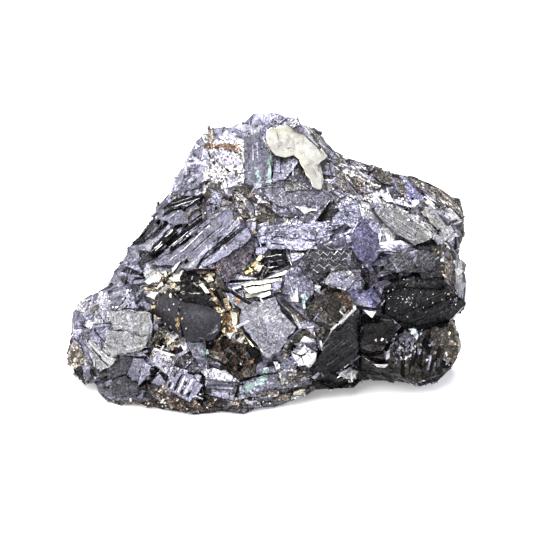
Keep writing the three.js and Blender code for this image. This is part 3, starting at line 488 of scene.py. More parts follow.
# what a small crystal is made of, by what it lies on
ON_ROCK = "earth earth earth earth umber umber umber night white cream lavender slate rust"
ON_CRYSTAL = "night night pale lavender lavender lavender slate slate silver dark dark"
CHIP_STEP = 0.9                   # length of the chipped sides of a flat crystal, mm
RIDGE_STEP = 1.0                  # length of the parts of a thin ridge, mm
RIDGE_THROW = 0.05                # how far they stand out of line, mm
RIDGE_GAPS = 0.18                 # share of them that is missing
RIDGE_LIFT = 0.08                 # how proud they stand, mm
RIDGE_DEPTH = 0.6                 # how deep they are let in, mm
RIDGE_WIDTHS = (0.25, 0.6)        # least and most of a ridge's width on each side of its line
RIDGE_TONES = (0.6, 1.3)          # darkest and brightest of its parts
SHARP_FACES = ("mirror", "satin", "night", "cream", "glass", "dark", "grey")   # with upright sides
SHARP_FLARE, BROKEN_FLARE = 0.03, 0.15   # how far these and the other great faces widen inwards
GREAT_DEPTH = 6.0                 # how deep a great face's crystal is let in, mm
GREAT_CHIPS = 0.13                # how far its sides are chipped, mm
SHARD_DEPTH = 1.4                 # the same for a splinter, mm
SHARD_CHIPS = 0.06
STEEPEST_FACE = 1.3               # steepest slope of a face laid over an outline
LEAST_SPOTS = 4                   # places that have to be found for it
SUNK = 0.25                       # how far the highest ground may stand above it, mm
GREAT_COVER = 0.3                 # small crystals on a great face, as a share of those elsewhere
CORNERS = np.array([[x, y, z] for x in (-1, 1) for y in (-1, 1) for z in (-1, 1)], dtype=float)
SIDES = [(0, 1, 3, 2), (4, 6, 7, 5), (0, 4, 5, 1), (2, 3, 7, 6), (0, 2, 6, 4), (1, 5, 7, 3)]


class Crystals:
    """Small closed crystals gathered into one mesh, in millimetres until they are made."""

    def __init__(self, first_facet):
        self.verts, self.faces, self.kinds, self.tones, self.facets, self.frames = [], [], [], [], [], []
        self.first_facet = first_facet
        self.low = np.array(cad_low) / MM
        self.high = np.array(cad_high) / MM

    def add(self, body, sides, kind, tone, axes):
        """Adds one crystal if it lies inside the specimen's box and off the table."""
        body = np.asarray(body)
        if (body < self.low).any() or (body > self.high).any() or body[:, 2].min() < BASE:
            return
        first = len(self.verts)
        facet = self.first_facet + len(self.frames)
        self.verts.extend(body)
        for side in sides:
            self.faces.append([first + i for i in side])
            self.kinds.append(kind)
            self.tones.append(tone)
            self.facets.append(facet)
        self.frames.append(np.concatenate(axes))

    def box(self, place, axes, half, jitter, kind, tone):
        """A small block: its middle, directions and half sizes, its corners a little out of true."""
        spots = CORNERS + rng.normal(size=(8, 3)) * jitter
        self.add(place + (spots * half) @ np.array(axes), SIDES, kind, tone, axes)

    def slab(self, top, inward, thickness, flare, kind, tone, axes):
        """A flat crystal: its face as corners in turn, its depth, and how far it widens inwards."""
        count = len(top)
        outward = top - top.mean(axis=0)
        outward = outward / np.maximum(np.linalg.norm(outward, axis=1), 1e-6)[:, None]
        body = np.vstack([top, top + (inward + outward * flare) * thickness])
        sides = [list(range(count)), list(range(2 * count - 1, count - 1, -1))]
        sides += [[(i + 1) % count, i, count + i, count + (i + 1) % count] for i in range(count)]
        self.add(body, sides, kind, tone, axes)

    def mesh(self, name):
        """The gathered crystals as one mesh."""
        made = bpy.data.meshes.new(name)
        made.from_pydata([tuple(vert * MM) for vert in self.verts], [], self.faces)
        for label, sort, values in (("finish", "INT", self.kinds), ("facet", "INT", self.facets),
                                    ("tone", "FLOAT", self.tones)):
            made.attributes.new(label, sort, "FACE").data.foreach_set("value", values)
        return made


def pick(options):
    """One word of several, by chance."""
    options = options.split()
    return options[rng.integers(len(options))]


def ragged(outline, step, amount):
    """An outline with chipped sides: more corners, each thrown a little to one side."""
    chipped = []
    for start, end in zip(outline, outline[1:] + outline[:1]):
        start, end = np.array(start, dtype=float), np.array(end, dtype=float)
        parts = max(1, round(np.hypot(*(end - start)) / step))
        aside = np.array((start[1] - end[1], end[0] - start[0])) / np.hypot(*(end - start))
        for i in range(parts):
            throw = rng.normal() * amount if i else 0.0
            along = (end - start) * (i + rng.uniform(-0.25, 0.25) * (i > 0)) / parts
            chipped.append(start + along + aside * throw)
    return chipped


def turned(axes, amount):
    """Three directions turned by a small chance angle about a chance axis."""
    axis = Vector(rng.normal(size=3)).normalized()
    turn = Matrix.Rotation(rng.normal() * amount, 3, axis)
    return [np.array(turn @ Vector(a)) for a in axes]


def scatter(mesh, frames, crystals, share):
    """Small crystals sunk into the faces: thin ledges, cubes and grains, or a share of them."""
    names = list(FINISHES)
    points = read(mesh, "vertices", "co", np.float64, 3) / MM
    corners = read(mesh, "polygons", "vertices", np.int32, 3)
    area = read(mesh, "polygons", "area", np.float64) / MM ** 2
    finish = read_attribute(mesh, "finish")
    facet = read_attribute(mesh, "facet")
    facet_area = np.bincount(facet, weights=area, minlength=len(frames))
    middle_z = points[corners].mean(axis=1)[:, 2]
    facing = read(mesh, "polygons", "normal", np.float64, 3) @ np.array(VIEW_SIDE)
    open_side = share * np.clip(facing * 2.2 - 0.5, 0.06, 1)
    for sort in range(3):
        cover = np.array([COVER[name][sort] for name in names])[finish] * open_side
        chosen = np.flatnonzero(rng.random(len(area)) < area * cover * (middle_z > 0.4))
        for face in chosen:
            place = rng.dirichlet((1, 1, 1)) @ points[corners[face]]
            base = names[finish[face]]
            along, across, normal = frames[facet[face]].reshape(3, 3)
            rocky = base in ("earth", "rust", "gold", "sugar", "umber")
            if sort == 0:
                size = min(1.0, math.sqrt(facet_area[facet[face]]) / 5)
                half = np.array([rng.uniform(0.4, 1.8), rng.uniform(0.04, 0.24), 0.4]) * (size, size, 1)
                if rng.random() < 0.2:
                    along, across = across, -along
                axes = turned((along, across, normal), 0.03)
                kind = base if base in ("night", "dark") or rng.random() < 0.75 else pick(ON_CRYSTAL)
                crystals.box(place + axes[2] * (rng.uniform(0.03, 0.12) - 0.4), axes, half, 0.04,
                             names.index(kind), rng.uniform(0.6, 1.6))
            elif sort == 1:
                size = (0.12 + 0.45 * rng.random() ** 2.2) * np.array((rng.uniform(0.9, 2.8), 1, 0.8))
                axes = turned((along, across, normal), 0.28)
                kind = base if rng.random() < 0.45 else pick(ON_ROCK if rocky else ON_CRYSTAL)
                crystals.box(place - axes[2] * size[2] * rng.uniform(0.4, 0.85), axes, size, 0.25,
                             names.index(kind), rng.uniform(0.5, 1.3))
            else:
                size = rng.uniform(0.1, 0.28) * rng.uniform(0.7, 1.3, 3)
                axes = turned((along, across, normal), 1.5)
                kind = base if rng.random() < 0.4 else pick(ON_ROCK)
                crystals.box(place - normal * size[2] * 0.35, axes, size, 0.22, names.index(kind),
                             rng.uniform(0.5, 1.5))


def tree_of(meshes):
    """One search tree over the faces of several meshes."""
    spots, faces = [], []
    for mesh in meshes:
        faces += [[len(spots) + i for i in polygon.vertices] for polygon in mesh.polygons]
        spots += [vertex.co for vertex in mesh.vertices]
    return BVHTree.FromPolygons(spots, faces)


class ShowSide:
    """Finds places on the show side of the lump from where they lie on the layout."""

    def __init__(self, meshes):
        self.tree = tree_of(meshes)

    def hit(self, across, up):
        """The place on the lump that is seen there, its normal and its face."""
        return self.tree.ray_cast(stand(across, up, SIGHT), -VIEW_SIDE)

    def plane(self, outline):
        """A plane laid over an outline: its middle, and how depth grows across and up."""
        spots = []
        middle = np.mean(outline, axis=0)
        for corner in [*outline, middle]:
            for share in (0.35, 0.85):
                across, up = middle + (np.array(corner) - middle) * share
                found = self.hit(across, up)[0]
                if found is not None:
                    a, u, d = layout(found)
                    spots.append((a[0], u[0], d[0]))
        if len(spots) < LEAST_SPOTS:
            return None
        spots = np.array(spots)
        table = np.column_stack([spots[:, 0] - middle[0], spots[:, 1] - middle[1], np.ones(len(spots))])
        slope_across, slope_up, depth = np.linalg.lstsq(table, spots[:, 2], rcond=None)[0]
        slope_across, slope_up = np.clip((slope_across, slope_up), -STEEPEST_FACE, STEEPEST_FACE)
        over = (spots[:, 2] - table @ (slope_across, slope_up, 0)).max()
        return middle, slope_across, slope_up, max(depth, over - SUNK)

    def slab(self, crystals, finish, lift, outline, tone=1.0, lean=(0, 0), thickness=SHARD_DEPTH,
             chips=0.0, flare=0.0):
        """A flat crystal whose face covers an outline of the layout, its sides chipped by an amount in mm."""
        found = self.plane(outline)
        if found is None:
            return
        middle, slope_across, slope_up, depth = found
        slope_across, slope_up = slope_across + lean[0], slope_up + lean[1]
        top = []
        for across, up in [*outline[:2], *(ragged(outline, CHIP_STEP, chips) if chips else outline)]:
            rise = slope_across * (across - middle[0]) + slope_up * (up - middle[1])
            top.append(np.array(stand(across, up, depth + rise + lift)) / MM)
        along = top[1] - top[0]
        top = np.array(top[2:])
        area = sum(np.cross(top[i] - top[0], top[i + 1] - top[0]) for i in range(1, len(top) - 1))
        normal = area / np.linalg.norm(area)
        if normal @ np.array(VIEW_SIDE) < 0:
            normal, top = -normal, top[::-1]
        along = along - normal * (along @ normal)
        along = along / np.linalg.norm(along)
        crystals.slab(top, -np.array(VIEW_SIDE), thickness, flare, list(FINISHES).index(finish), tone,
                      (along, np.cross(normal, along), normal))

    def line(self, crystals, finish, width, points):
        """A thin broken ridge that follows the surface from point to point."""
        for (ax, au), (bx, bu) in zip(points, points[1:]):
            steps = max(1, round(math.hypot(bx - ax, bu - au) / RIDGE_STEP))
            side = np.array((au - bu, bx - ax)) / math.hypot(bx - ax, bu - au)
            start, reach = np.array((ax, au)), np.array((bx - ax, bu - au))
            spots = [start + reach * i / steps + side * rng.normal() * RIDGE_THROW for i in range(steps + 1)]
            for start, end in zip(spots, spots[1:]):
                if rng.random() < RIDGE_GAPS:
                    continue
                near, far = side * width * rng.uniform(*RIDGE_WIDTHS, 2)[:, None]
                self.slab(crystals, finish, RIDGE_LIFT, [start - near, end - far, end + far, start + near],
                          rng.uniform(*RIDGE_TONES), thickness=RIDGE_DEPTH)

    def heap(self, crystals, finishes, count, across, up, reach, size):
        """A heap of small angular crystals round a place."""
        for _ in range(count):
            a, u = across + rng.normal() * reach[0], up + rng.normal() * reach[1]
            found = self.hit(a, u)
            if found[0] is None or found[1].dot(VIEW_SIDE) < 0.1:
                continue
            normal = found[1]
            along = normal.orthogonal().normalized()
            axes = turned((along, normal.cross(along), normal), 0.5)
            half = rng.uniform(*size) * np.array([rng.uniform(0.5, 1.4), rng.uniform(0.4, 1.0), 0.5])
            crystals.box(np.array(found[0]) / MM - axes[2] * half[2] * 0.5, axes, half, 0.25,
                         list(FINISHES).index(pick(finishes)), rng.uniform(0.6, 1.5))


# ------------------------------------------------------------------ the largest crystal faces, by place
# finish, tone, lift, lean [across, up], outline on the layout, mm; the first side runs along the cleavage
GREAT_FACES = [
    # top
    ("lilac", 0.44, 0.2, (0, 0), [(-4.6, 45.6), (-4.9, 54.6), (-2.6, 55.4), (-0.8, 55), (-0.7, 53),
        (0.3, 51.2), (0.7, 45.6), (-2.6, 44.8)]),
    ("slate", 0.8, 0.3, (0, 0), [(0.9, 45.5), (1.1, 50.9), (3.4, 50.6), (5.4, 50.9), (6.1, 49.9),
        (3.4, 46.3)]),
    ("grey", 0.3, 0.3, (0, 0), [(6.1, 49.6), (8.2, 44.5), (3.4, 43.9), (3.7, 46.3)]),
    ("mirror", 0.85, 0.35, (0, 0), [(-0.3, 55.9), (2.4, 57.1), (4.4, 56.8), (6.4, 56.3), (7.7, 54.6),
        (10.7, 51.6), (11.4, 50.6), (9.9, 49.4), (9.9, 47.9), (10.6, 46.6), (10.4, 44.4), (8.7, 44.9),
        (7.7, 46.9), (6.1, 50.3), (5.1, 51.1), (3.4, 50.6), (1.4, 51.1), (0.1, 52.9), (-0.4, 54.6)]),
    ("slate", 0.8, 0.3, (0, 0), [(9.1, 39.3), (12.4, 42.6), (10.4, 44.3), (8.1, 44.3), (0.1, 44.9),
        (-2.9, 43.3), (4.1, 40.6), (7.1, 37.7), (8.7, 37.9)]),
    # the long lined plates and the ledges beside them
    ("lilac", 0.56, 0.3, (0, 0), [(-11.6, 31.3), (-5.6, 36.6), (-7.6, 40.6), (-11.6, 37.6), (-14, 35.3),
        (-18.3, 32.3), (-23, 29.6), (-13.6, 29)]),
    ("lilac", 0.72, 0.5, (0, 0), [(-11, 31.3), (-6, 35.6), (-4, 36.8), (-3.3, 35), (-5.3, 33), (-9.6, 30.4),
        (-12.6, 29), (-13.3, 29.6)]),
    ("plum", 0.7, 0.4, (0, 0), [(-9.6, 30.4), (-5.3, 33), (-3.4, 34.1), (-2.7, 34.1), (-2.6, 33),
        (-3.3, 30.6), (-4.3, 28.6), (-6.3, 28), (-8.3, 25), (-8.3, 26.6), (-9.6, 28.3)]),
    ("slate", 1.1, 0.3, (0, 0), [(-21.9, 40.6), (-16.3, 39.9), (-15.9, 37.6), (-18.6, 37.3),
        (-21.6, 38.6)]),
    ("night", 1.0, 0.4, (0, 0), [(-18.3, 42.2), (-15.5, 42.9), (-12.6, 43.2), (-14.6, 42.1), (-17.6, 41.1),
        (-20.3, 41.1)]),
    ("night", 1.0, 0.4, (0, 0), [(-24.9, 33.9), (-21.9, 35.9), (-20.3, 37.9), (-23.6, 36.6),
        (-25.3, 34.9)]),
    ("pale", 1.1, 0.6, (0, 0), [(-24.3, 32.9), (-19.6, 37.6), (-18.6, 36.6), (-23.6, 31.6)]),
    ("night", 1.0, 0.6, (0, 0), [(-23.9, 31.9), (-19.6, 36.6), (-18.3, 35.9), (-21.9, 31.9),
        (-22.9, 30.6)]),
    ("dark", 1.0, 0.5, (0, 0), [(-18.6, 33.3), (-13.9, 36.3), (-14.9, 34.9), (-18.3, 32.3)]),
    # middle
    ("lilac", 0.75, 0.3, (0, 0), [(-0.3, 32.8), (4.5, 32.4), (9.7, 32.6), (9.2, 34), (2.6, 34.8),
        (-0.3, 34.4)]),
    ("lilac", 0.65, 0.3, (0, 0), [(-0.3, 34.6), (2.6, 35), (9.3, 34.2), (9.4, 36.6), (7, 37), (4, 37.2),
        (-0.2, 37.4)]),
    ("lilac", 0.52, 0.5, (0, 0), [(12.4, 36.3), (13.1, 40.3), (17.4, 42.3), (18.4, 38.9), (17.1, 36.6),
        (15.1, 37.6)]),
    ("dark", 1.0, 0.3, (0, 0), [(9.7, 37.6), (12.4, 42.3), (13.1, 40.6), (12.4, 37.3)]),
    ("violet", 0.6, 0.5, (0, 0), [(17.1, 36.3), (18.4, 37.6), (21.7, 35.3), (22.1, 31.9), (19.7, 28.6),
        (17.7, 30.6), (16.4, 32.9)]),
    ("dark", 1.0, 0.3, (0, 0), [(7.4, 29.6), (8.6, 32.2), (12.6, 32.4), (16.4, 32.6), (17.6, 30.6),
        (17.2, 28.8), (12, 28), (9, 27.6)]),
    ("slate", 1.2, 0.3, (0, 0), [(12, 27.8), (15, 28.4), (16.6, 27), (16, 25), (12.4, 25.2)]),
    ("slate", 0.8, 0.3, (0, 0), [(2.6, 23.8), (3.4, 27.6), (5.6, 28.6), (8.4, 27), (9, 24), (7.6, 22.4)]),
    # right shoulder
    ("grey", 0.57, 0.4, (0, 0), [(26.2, 40.1), (32.2, 34.6), (29, 33.2), (25.5, 35.6), (22.5, 38.2),
        (21, 40.6)]),
    ("grey", 0.9, 0.4, (0, 0), [(33.5, 39.4), (37.8, 35.6), (35.9, 33.9), (34, 36), (30.4, 39.9),
        (31.2, 41)]),
    ("hatched", 0.52, 0.3, (0, 0), [(22.8, 28.6), (27.6, 32.8), (33, 32.2), (33, 28.4), (27, 28)]),
    ("dark", 0.9, 0.4, (0, 0), [(29.6, 33), (34.6, 33.6), (34.4, 31), (31.4, 30.6)]),
    ("dark", 0.8, 0.5, (0, 0), [(29.4, 29.6), (35, 30.2), (35.4, 27), (30.4, 26.6)]),
    ("night", 0.5, 0.5, (0, 0), [(23.1, 23.6), (26.4, 24.9), (35.7, 24.6), (39.2, 21.6), (38.9, 20.9),
        (36.1, 18.3), (35.4, 17.9), (30.1, 17.6), (26.4, 18.3), (23.1, 19.9)]),
    # lower right
    ("dark", 0.15, 0.4, (0, 0), [(12.4, 15.6), (17.4, 19.3), (17.7, 13.9), (17.7, 11.3), (13.1, 7.9),
        (8.7, 6.6), (9.1, 9.9), (10.7, 12.6)]),
    ("silver", 0.7, 0.5, (0, 0), [(13.9, 8), (16.2, 9.3), (17.9, 8.4), (17.3, 6.9), (15.6, 6.9)]),
    ("white", 0.5, 0.5, (0, 0), [(4.6, 12.4), (5.6, 13.4), (8, 13.2), (9.6, 12.2), (9.4, 10.4), (8.2, 9.2),
        (6.6, 9.6), (5.2, 10.8)]),
    ("grey", 0.17, 0.3, (0, 0), [(-30.6, 3.4), (-29.6, 4.5), (-28, 4.7), (-26.8, 3.9), (-26.8, 2.6),
        (-28.2, 1.9), (-29.8, 2.2)]),
    ("umber", 0.28, 0.3, (0, 0), [(28, 11.7), (31.7, 14), (35, 12.1), (35.9, 8.4), (33.1, 5.6), (29.9, 4.7),
        (25.2, 6.6), (23.8, 9.3)]),
    ("umber", 0.42, 0.3, (0, 0), [(32.4, 17), (36.6, 17.4), (37.8, 13.4), (36.4, 10), (35.4, 12.4),
        (32, 14.4)]),
    ("white", 0.9, 0.5, (0, 0), [(33.4, 9.4), (35.8, 9.8), (36.4, 8), (34.8, 6.6), (33.2, 7.2)]),
    ("night", 0.6, 0.3, (0, 0), [(19, 9.6), (23.4, 9.2), (25, 6.6), (21, 5), (18.4, 6.6)]),
    ("umber", 0.25, 0.3, (0, 0), [(7.7, 19.3), (9.4, 22.6), (11.1, 23.8), (14.4, 23.9), (16.4, 21.3),
        (17.4, 19.3), (15.1, 15.9), (11.4, 16.9)]),
    ("night", 0.45, 0.3, (0, 0), [(18.8, 17.6), (24.6, 18.6), (25.7, 15), (21.6, 13.6), (18.4, 14.6)]),
    # round the black face
    ("night", 0.35, 0.4, (0, 0), [(-18.3, 25.6), (-16.3, 26.3), (-12.6, 24.3), (-9.6, 21.3), (-12.3, 21.6),
        (-17.6, 22.9)]),
    ("satin", 0.44, 0.4, (0, 0), [(-20.3, 24.6), (-17.6, 22.3), (-16.9, 15.3), (-18.3, 16.6), (-21.6, 18.9),
        (-22.9, 19.9), (-20.9, 23.3)]),
    ("satin", 0.31, 0.5, (0, 0), [(-17.6, 22.6), (-12.3, 21.6), (-9.3, 20.3), (-8.9, 18.3), (-9.9, 15.9),
        (-11.6, 14.6), (-15.9, 14.6), (-16.9, 16.9)]),
    ("pale", 0.47, 0.4, (0, 0), [(-8.6, 23.2), (-7.3, 23.9), (-4.6, 22), (-3.6, 21.6), (1.4, 23.3),
        (2.4, 20.6), (5.4, 17.3), (4.4, 15.9), (3.1, 13.9), (2.4, 12.6), (0.4, 11.3), (-0.9, 11.6),
        (-3.6, 15.9), (-5.6, 18), (-5.3, 20.8)]),
    ("glass", 1.2, 0.4, (0, 0), [(-24.6, 27.6), (-22.9, 29.1), (-20.6, 27.4), (-21.6, 26.1),
        (-23.6, 25.8)]),
    # left
    ("grey", 0.85, 0.4, (0, 0), [(-30.9, 19.3), (-26.9, 19.8), (-23.3, 19.6), (-22.6, 17.3), (-22.9, 15.9),
        (-30.3, 16.6)]),
    ("grey", 0.44, 0.4, (0, 0), [(-30.3, 16.6), (-22.9, 15.9), (-23.9, 13.9), (-25.6, 12.6), (-30.9, 11.6),
        (-31.9, 12.6), (-31.6, 14.9)]),
    ("white", 0.5, 0.4, (0, 0), [(-36.3, 14.9), (-34, 13.8), (-31.6, 11.3), (-29.9, 10.9), (-30.6, 9.9),
        (-33.6, 8.3), (-34.3, 9.3), (-35.6, 12.9)]),
    ("pale", 0.5, 0.4, (0, 0), [(-21.9, 12.6), (-18.3, 10.9), (-19.9, 7.9), (-22.9, 10.3)]),
    ("lavender", 0.75, 0.5, (0, 0), [(-20.3, 5.3), (-18.6, 8.9), (-16.3, 8.3), (-12.6, 5.9), (-15.3, 2.6)]),
    ("dark", 1.0, 0.2, (0, 0), [(-31.6, 9.6), (-29, 11.4), (-26.6, 11.2), (-28, 8), (-31.6, 6.8)]),
    ("slate", 0.9, 0.4, (0, 0), [(-26.4, 11.2), (-24.4, 10.8), (-23, 8.2), (-25, 6), (-28, 7.8)]),
    ("lavender", 1.0, 0.5, (0, 0), [(-25.4, 5.8), (-23.2, 8), (-22.9, 9.6), (-24.4, 10.6), (-25.2, 8.6)]),
    ("dark", 0.9, 0.3, (0, 0), [(-31.4, 6.4), (-28, 7.6), (-25.4, 5.6), (-26, 3.4), (-30.4, 3.8)]),
    ("lavender", 0.45, 0.4, (0, 0), [(-16.3, 14.5), (-12.6, 14.4), (-11.6, 9.3), (-12.9, 8.6),
        (-14.9, 11.9)]),
    ("pale", 0.9, 0.6, (0, 0), [(-12.6, 10.4), (-11.9, 9), (-8.3, 8.8), (-6.3, 6.6), (-11.6, 7.3)]),
    ("lilac", 0.6, 0.4, (0, 0), [(-5, 6.6), (1.6, 8), (2.4, 5.6), (-4, 3.6)]),
]
# the broken ground between them: finishes found there, tone, and outline on the layout, mm
REGIONS = [
    # top
    ("sugar sugar pale lavender", 1.15, [(-12.5, 45), (-4.6, 45), (-4.6, 56), (-9, 56), (-13, 52)]),
    ("lavender slate lavender", 0.75, [(-6, 56), (0, 55.6), (6, 56.6), (7, 59), (-6, 59)]),
    ("rust earth sugar rust", 1.2, [(-11.6, 51.6), (-5.9, 51.6), (-5.6, 52.8), (-11.6, 53)]),
    ("lavender pale slate lavender", 1.5, [(-21, 41), (-12.5, 43.6), (-12.5, 53), (-16, 53)]),
    ("umber slate earth sugar", 0.85, [(-8.3, 37.3), (0, 37.3), (0.2, 45), (-8.3, 45)]),
    ("slate umber lavender earth", 1.0, [(-13, 38.4), (-8.3, 37), (-8.3, 45.6), (-13, 45)]),
    ("slate umber slate sugar", 0.9, [(-0.3, 38.3), (6.5, 37.6), (4.4, 41), (0, 42.9)]),
    ("earth sugar slate umber lavender", 1.1, [(8.6, 54), (11.6, 50), (10.4, 44.5), (12.5, 42), (22, 42),
        (23, 48.4), (12, 54)]),
    ("rust earth umber sugar", 1.2, [(15, 45.4), (19, 45.4), (19, 48), (15, 48.4)]),
    ("silver lavender umber", 1.0, [(6.8, 56.6), (10.6, 52.4), (14, 50.6), (12, 55), (8, 57.4)]),
    ("slate lavender dark umber silver", 1.0, [(21, 48.6), (29, 46.6), (29, 42), (21, 42.6)]),
    ("umber dark umber", 0.9, [(22, 45), (25.4, 45), (25.4, 48.4), (22, 48.6)]),
    ("violet dark violet", 0.9, [(27.6, 42), (30, 42), (30, 45), (27.6, 45)]),
    ("umber slate silver umber", 1.5, [(29.7, 46.4), (38.6, 42.4), (39, 39), (30, 42.6)]),
    # right shoulder
    ("pale silver white lavender slate", 1.5, [(18, 42.8), (30, 42.6), (38, 38.6), (38.6, 33.6), (34, 33.4),
        (28, 40)]),
    ("pale silver lavender white slate", 1.0, [(18.6, 38), (22.6, 37.6), (23, 40.8), (21.6, 42.6),
        (18, 42.6)]),
    ("umber dark umber", 1.0, [(36.4, 41), (39.8, 40), (39.8, 33.6), (38, 34)]),
    ("umber silver dark umber", 1.2, [(34.6, 25.4), (39.8, 26), (39.8, 33.6), (35, 33.6)]),
    ("pale white silver lavender", 1.9, [(21.6, 32), (28.4, 32.8), (25.6, 35.4), (22.4, 38.4), (20.6, 39.6),
        (20.4, 36.6)]),
    ("slate lavender dark silver", 0.9, [(20.4, 27.4), (29.6, 27), (30, 33), (22.2, 32)]),
    ("slate dark lavender", 0.75, [(9.6, 32.5), (12.4, 36.3), (12.4, 38), (9.4, 37.8)]),
    ("lavender slate lilac", 1.15, [(12, 32.6), (17, 33), (17.4, 37.8), (12.4, 38.4)]),
    ("violet slate plum lavender", 1.2, [(17, 19.6), (17, 24), (18.6, 28), (22.4, 28), (22.8, 20)]),
    ("night dark night", 1.3, [(22.4, 24), (24, 27.6), (36, 27.4), (37, 24.4), (34, 25), (26.4, 25.2)]),
    ("night night dark", 0.4, [(22.6, 17), (38, 17), (39.8, 19), (39.8, 25), (22.6, 25)]),
    ("pale lavender silver dark", 1.2, [(36.8, 22.6), (39.9, 22.6), (39.9, 28), (36.8, 28)]),
    # middle
    ("night dark night", 0.5, [(-3.4, 28), (-2.2, 31.6), (3, 31.9), (3.2, 28)]),
    ("cream night white", 0.7, [(-5, 26.8), (3, 28), (3, 24), (0.6, 23), (-4.6, 23)]),
    ("slate lavender silver dark", 0.8, [(2.8, 32.2), (7.6, 32), (7.6, 29), (9.6, 25), (8.4, 22.2),
        (4, 20.6), (2.6, 24)]),
    ("umber slate dark", 0.9, [(5.6, 19.4), (8.4, 19), (8.6, 23), (6, 24)]),
    ("lavender sugar pale", 1.2, [(-19.4, 43), (-12.4, 43.8), (-12.4, 46), (-17.6, 46)]),
    ("lavender pale slate", 1.4, [(-23.4, 38.6), (-21.6, 42), (-19.8, 41.4), (-21.6, 38.6)]),
    ("pale silver lavender", 1.0, [(3.4, 32.4), (4.2, 28.4), (8, 28.6), (7.4, 32.4)]),
    ("lavender slate pale", 1.3, [(-24, 28), (-15, 28.4), (-9, 28), (-12, 30.4), (-23.6, 30.4)]),
    # lower right: the night finishes and low tones here are painted shade of the shadowed underside
    ("night", 0.3, [(8, 4.4), (8.6, 7.4), (13, 9.6), (18.4, 9.6), (20, 4), (10, 2.4)]),
    ("night night dark umber", 0.3, [(17.6, 10.6), (25.7, 10.6), (25.7, 19.4), (17.6, 19.4)]),
    ("umber night dark umber", 0.36, [(18, 4.6), (38.4, 4.6), (38.6, 17.4), (25.6, 17), (20, 11.6)]),
    ("lavender violet silver dark", 0.9, [(24.6, 12.2), (27.8, 15.6), (29.6, 15), (27.8, 12),
        (25.6, 11.2)]),
    ("earth umber rust umber", 1.0, [(35.4, 10.6), (39.8, 11), (39.8, 18), (35.7, 18)]),
    ("silver umber white lavender", 1.1, [(4.8, 9), (9, 9), (10.6, 13.4), (6.4, 14.4), (4.6, 14)]),
    ("silver umber lavender white", 1.4, [(6.2, 14.4), (10.6, 13.4), (10.4, 17), (8.6, 19.3), (6.2, 19)]),
    ("sugar umber slate", 0.7, [(2.8, 5.4), (8.6, 5.8), (9, 9.3), (4.6, 9.3)]),
    ("cream umber sugar", 0.7, [(4.6, 1.8), (8.4, 2.4), (8.6, 5.6), (4.6, 5)]),
    ("slate lavender slate", 0.9, [(-1, 8), (2.8, 8), (4.8, 12), (2, 12.4), (-1, 11.4)]),
    # foot
    ("earth rust umber dark", 0.36, [(-26, 5), (-22, 0), (-8, -0.6), (-8, 4), (-12, 5), (-14, 2.6),
        (-20.3, 5)]),
    ("umber slate dark earth", 0.6, [(-8, -0.6), (6, 0), (6, 4.4), (1, 5), (-5, 3.4), (-8, 5)]),
    ("slate lavender dark", 0.9, [(-12.6, 4.6), (-8, 2.6), (-4.4, 5), (-5.6, 7), (-11.8, 7.4)]),
    ("umber rust night umber", 0.42, [(-10, 8.6), (-6, 7), (-3, 8), (-1.4, 11), (-3.6, 14.4),
        (-9.6, 14.4)]),
    ("gold ochre umber cream", 0.9, [(-9, 23.4), (-7, 23.6), (-5.6, 20), (-5.8, 17.6), (-4, 15),
        (-8.6, 14.6), (-9, 18.4)]),
    # left
    ("lavender slate pale dark", 1.0, [(-34, 19.8), (-23, 19.8), (-22.6, 24), (-24, 30), (-29, 28),
        (-34, 23.6)]),
    ("dark slate lavender night", 1.2, [(-29, 25.6), (-25, 25), (-23.6, 33), (-27, 31)]),
    ("cream gold umber cream", 1.25, [(-23.6, 22.8), (-19.9, 24.6), (-18.3, 25.7), (-16.6, 26.6),
        (-17.4, 29), (-23.6, 27.9)]),
    ("night umber umber night", 0.7, [(-16.4, 26.4), (-12.6, 24.4), (-9.4, 21.4), (-8.2, 24.4),
        (-9.2, 27.6), (-14, 27.7)]),
    ("umber night silver earth", 1.2, [(-22.6, 10.6), (-16.3, 10.6), (-16.5, 15.4), (-18.3, 16.7),
        (-22, 19.4)]),
    ("pale lavender sugar", 1.0, [(-39.6, 18), (-31, 18), (-31, 24), (-39, 24)]),
    ("lavender pale slate sugar silver", 0.9, [(-34.6, 12.6), (-30.4, 12.6), (-30.4, 18.2), (-36, 18.2)]),
    ("cream white cream", 0.75, [(-36.4, 15), (-31.6, 11.3), (-29.9, 10.9), (-30.6, 9.9), (-33.6, 8.2),
        (-34.5, 9.3), (-35.8, 12.9)]),
    ("dark lavender slate dark", 1.6, [(-39, 17.4), (-36.2, 17.4), (-35.8, 13), (-34, 9), (-33.6, 7.2),
        (-36.4, 7.4), (-38.8, 13)]),
    ("earth umber", 1.5, [(-40.6, 9.3), (-37, 9.3), (-37.2, 13.6), (-40.6, 13.6)]),
    ("slate dark lavender umber", 0.5, [(-34, 3), (-22.6, 2.6), (-22.4, 11.8), (-30, 11.6), (-33.4, 8)]),
    ("lavender pale slate night", 1.0, [(-28.4, 8.6), (-23, 8.2), (-22.8, 12), (-27.4, 12)]),
    ("lavender slate lavender", 1.1, [(-3.2, 32), (-0.2, 31.8), (-0.2, 37.4), (-3.8, 37)]),
    ("white night lavender umber", 0.8, [(-18.6, 9.2), (-15.8, 8.4), (-12.4, 6.2), (-12.8, 8.6), (-15, 12),
        (-16.4, 14.4), (-18, 11.4)]),
]
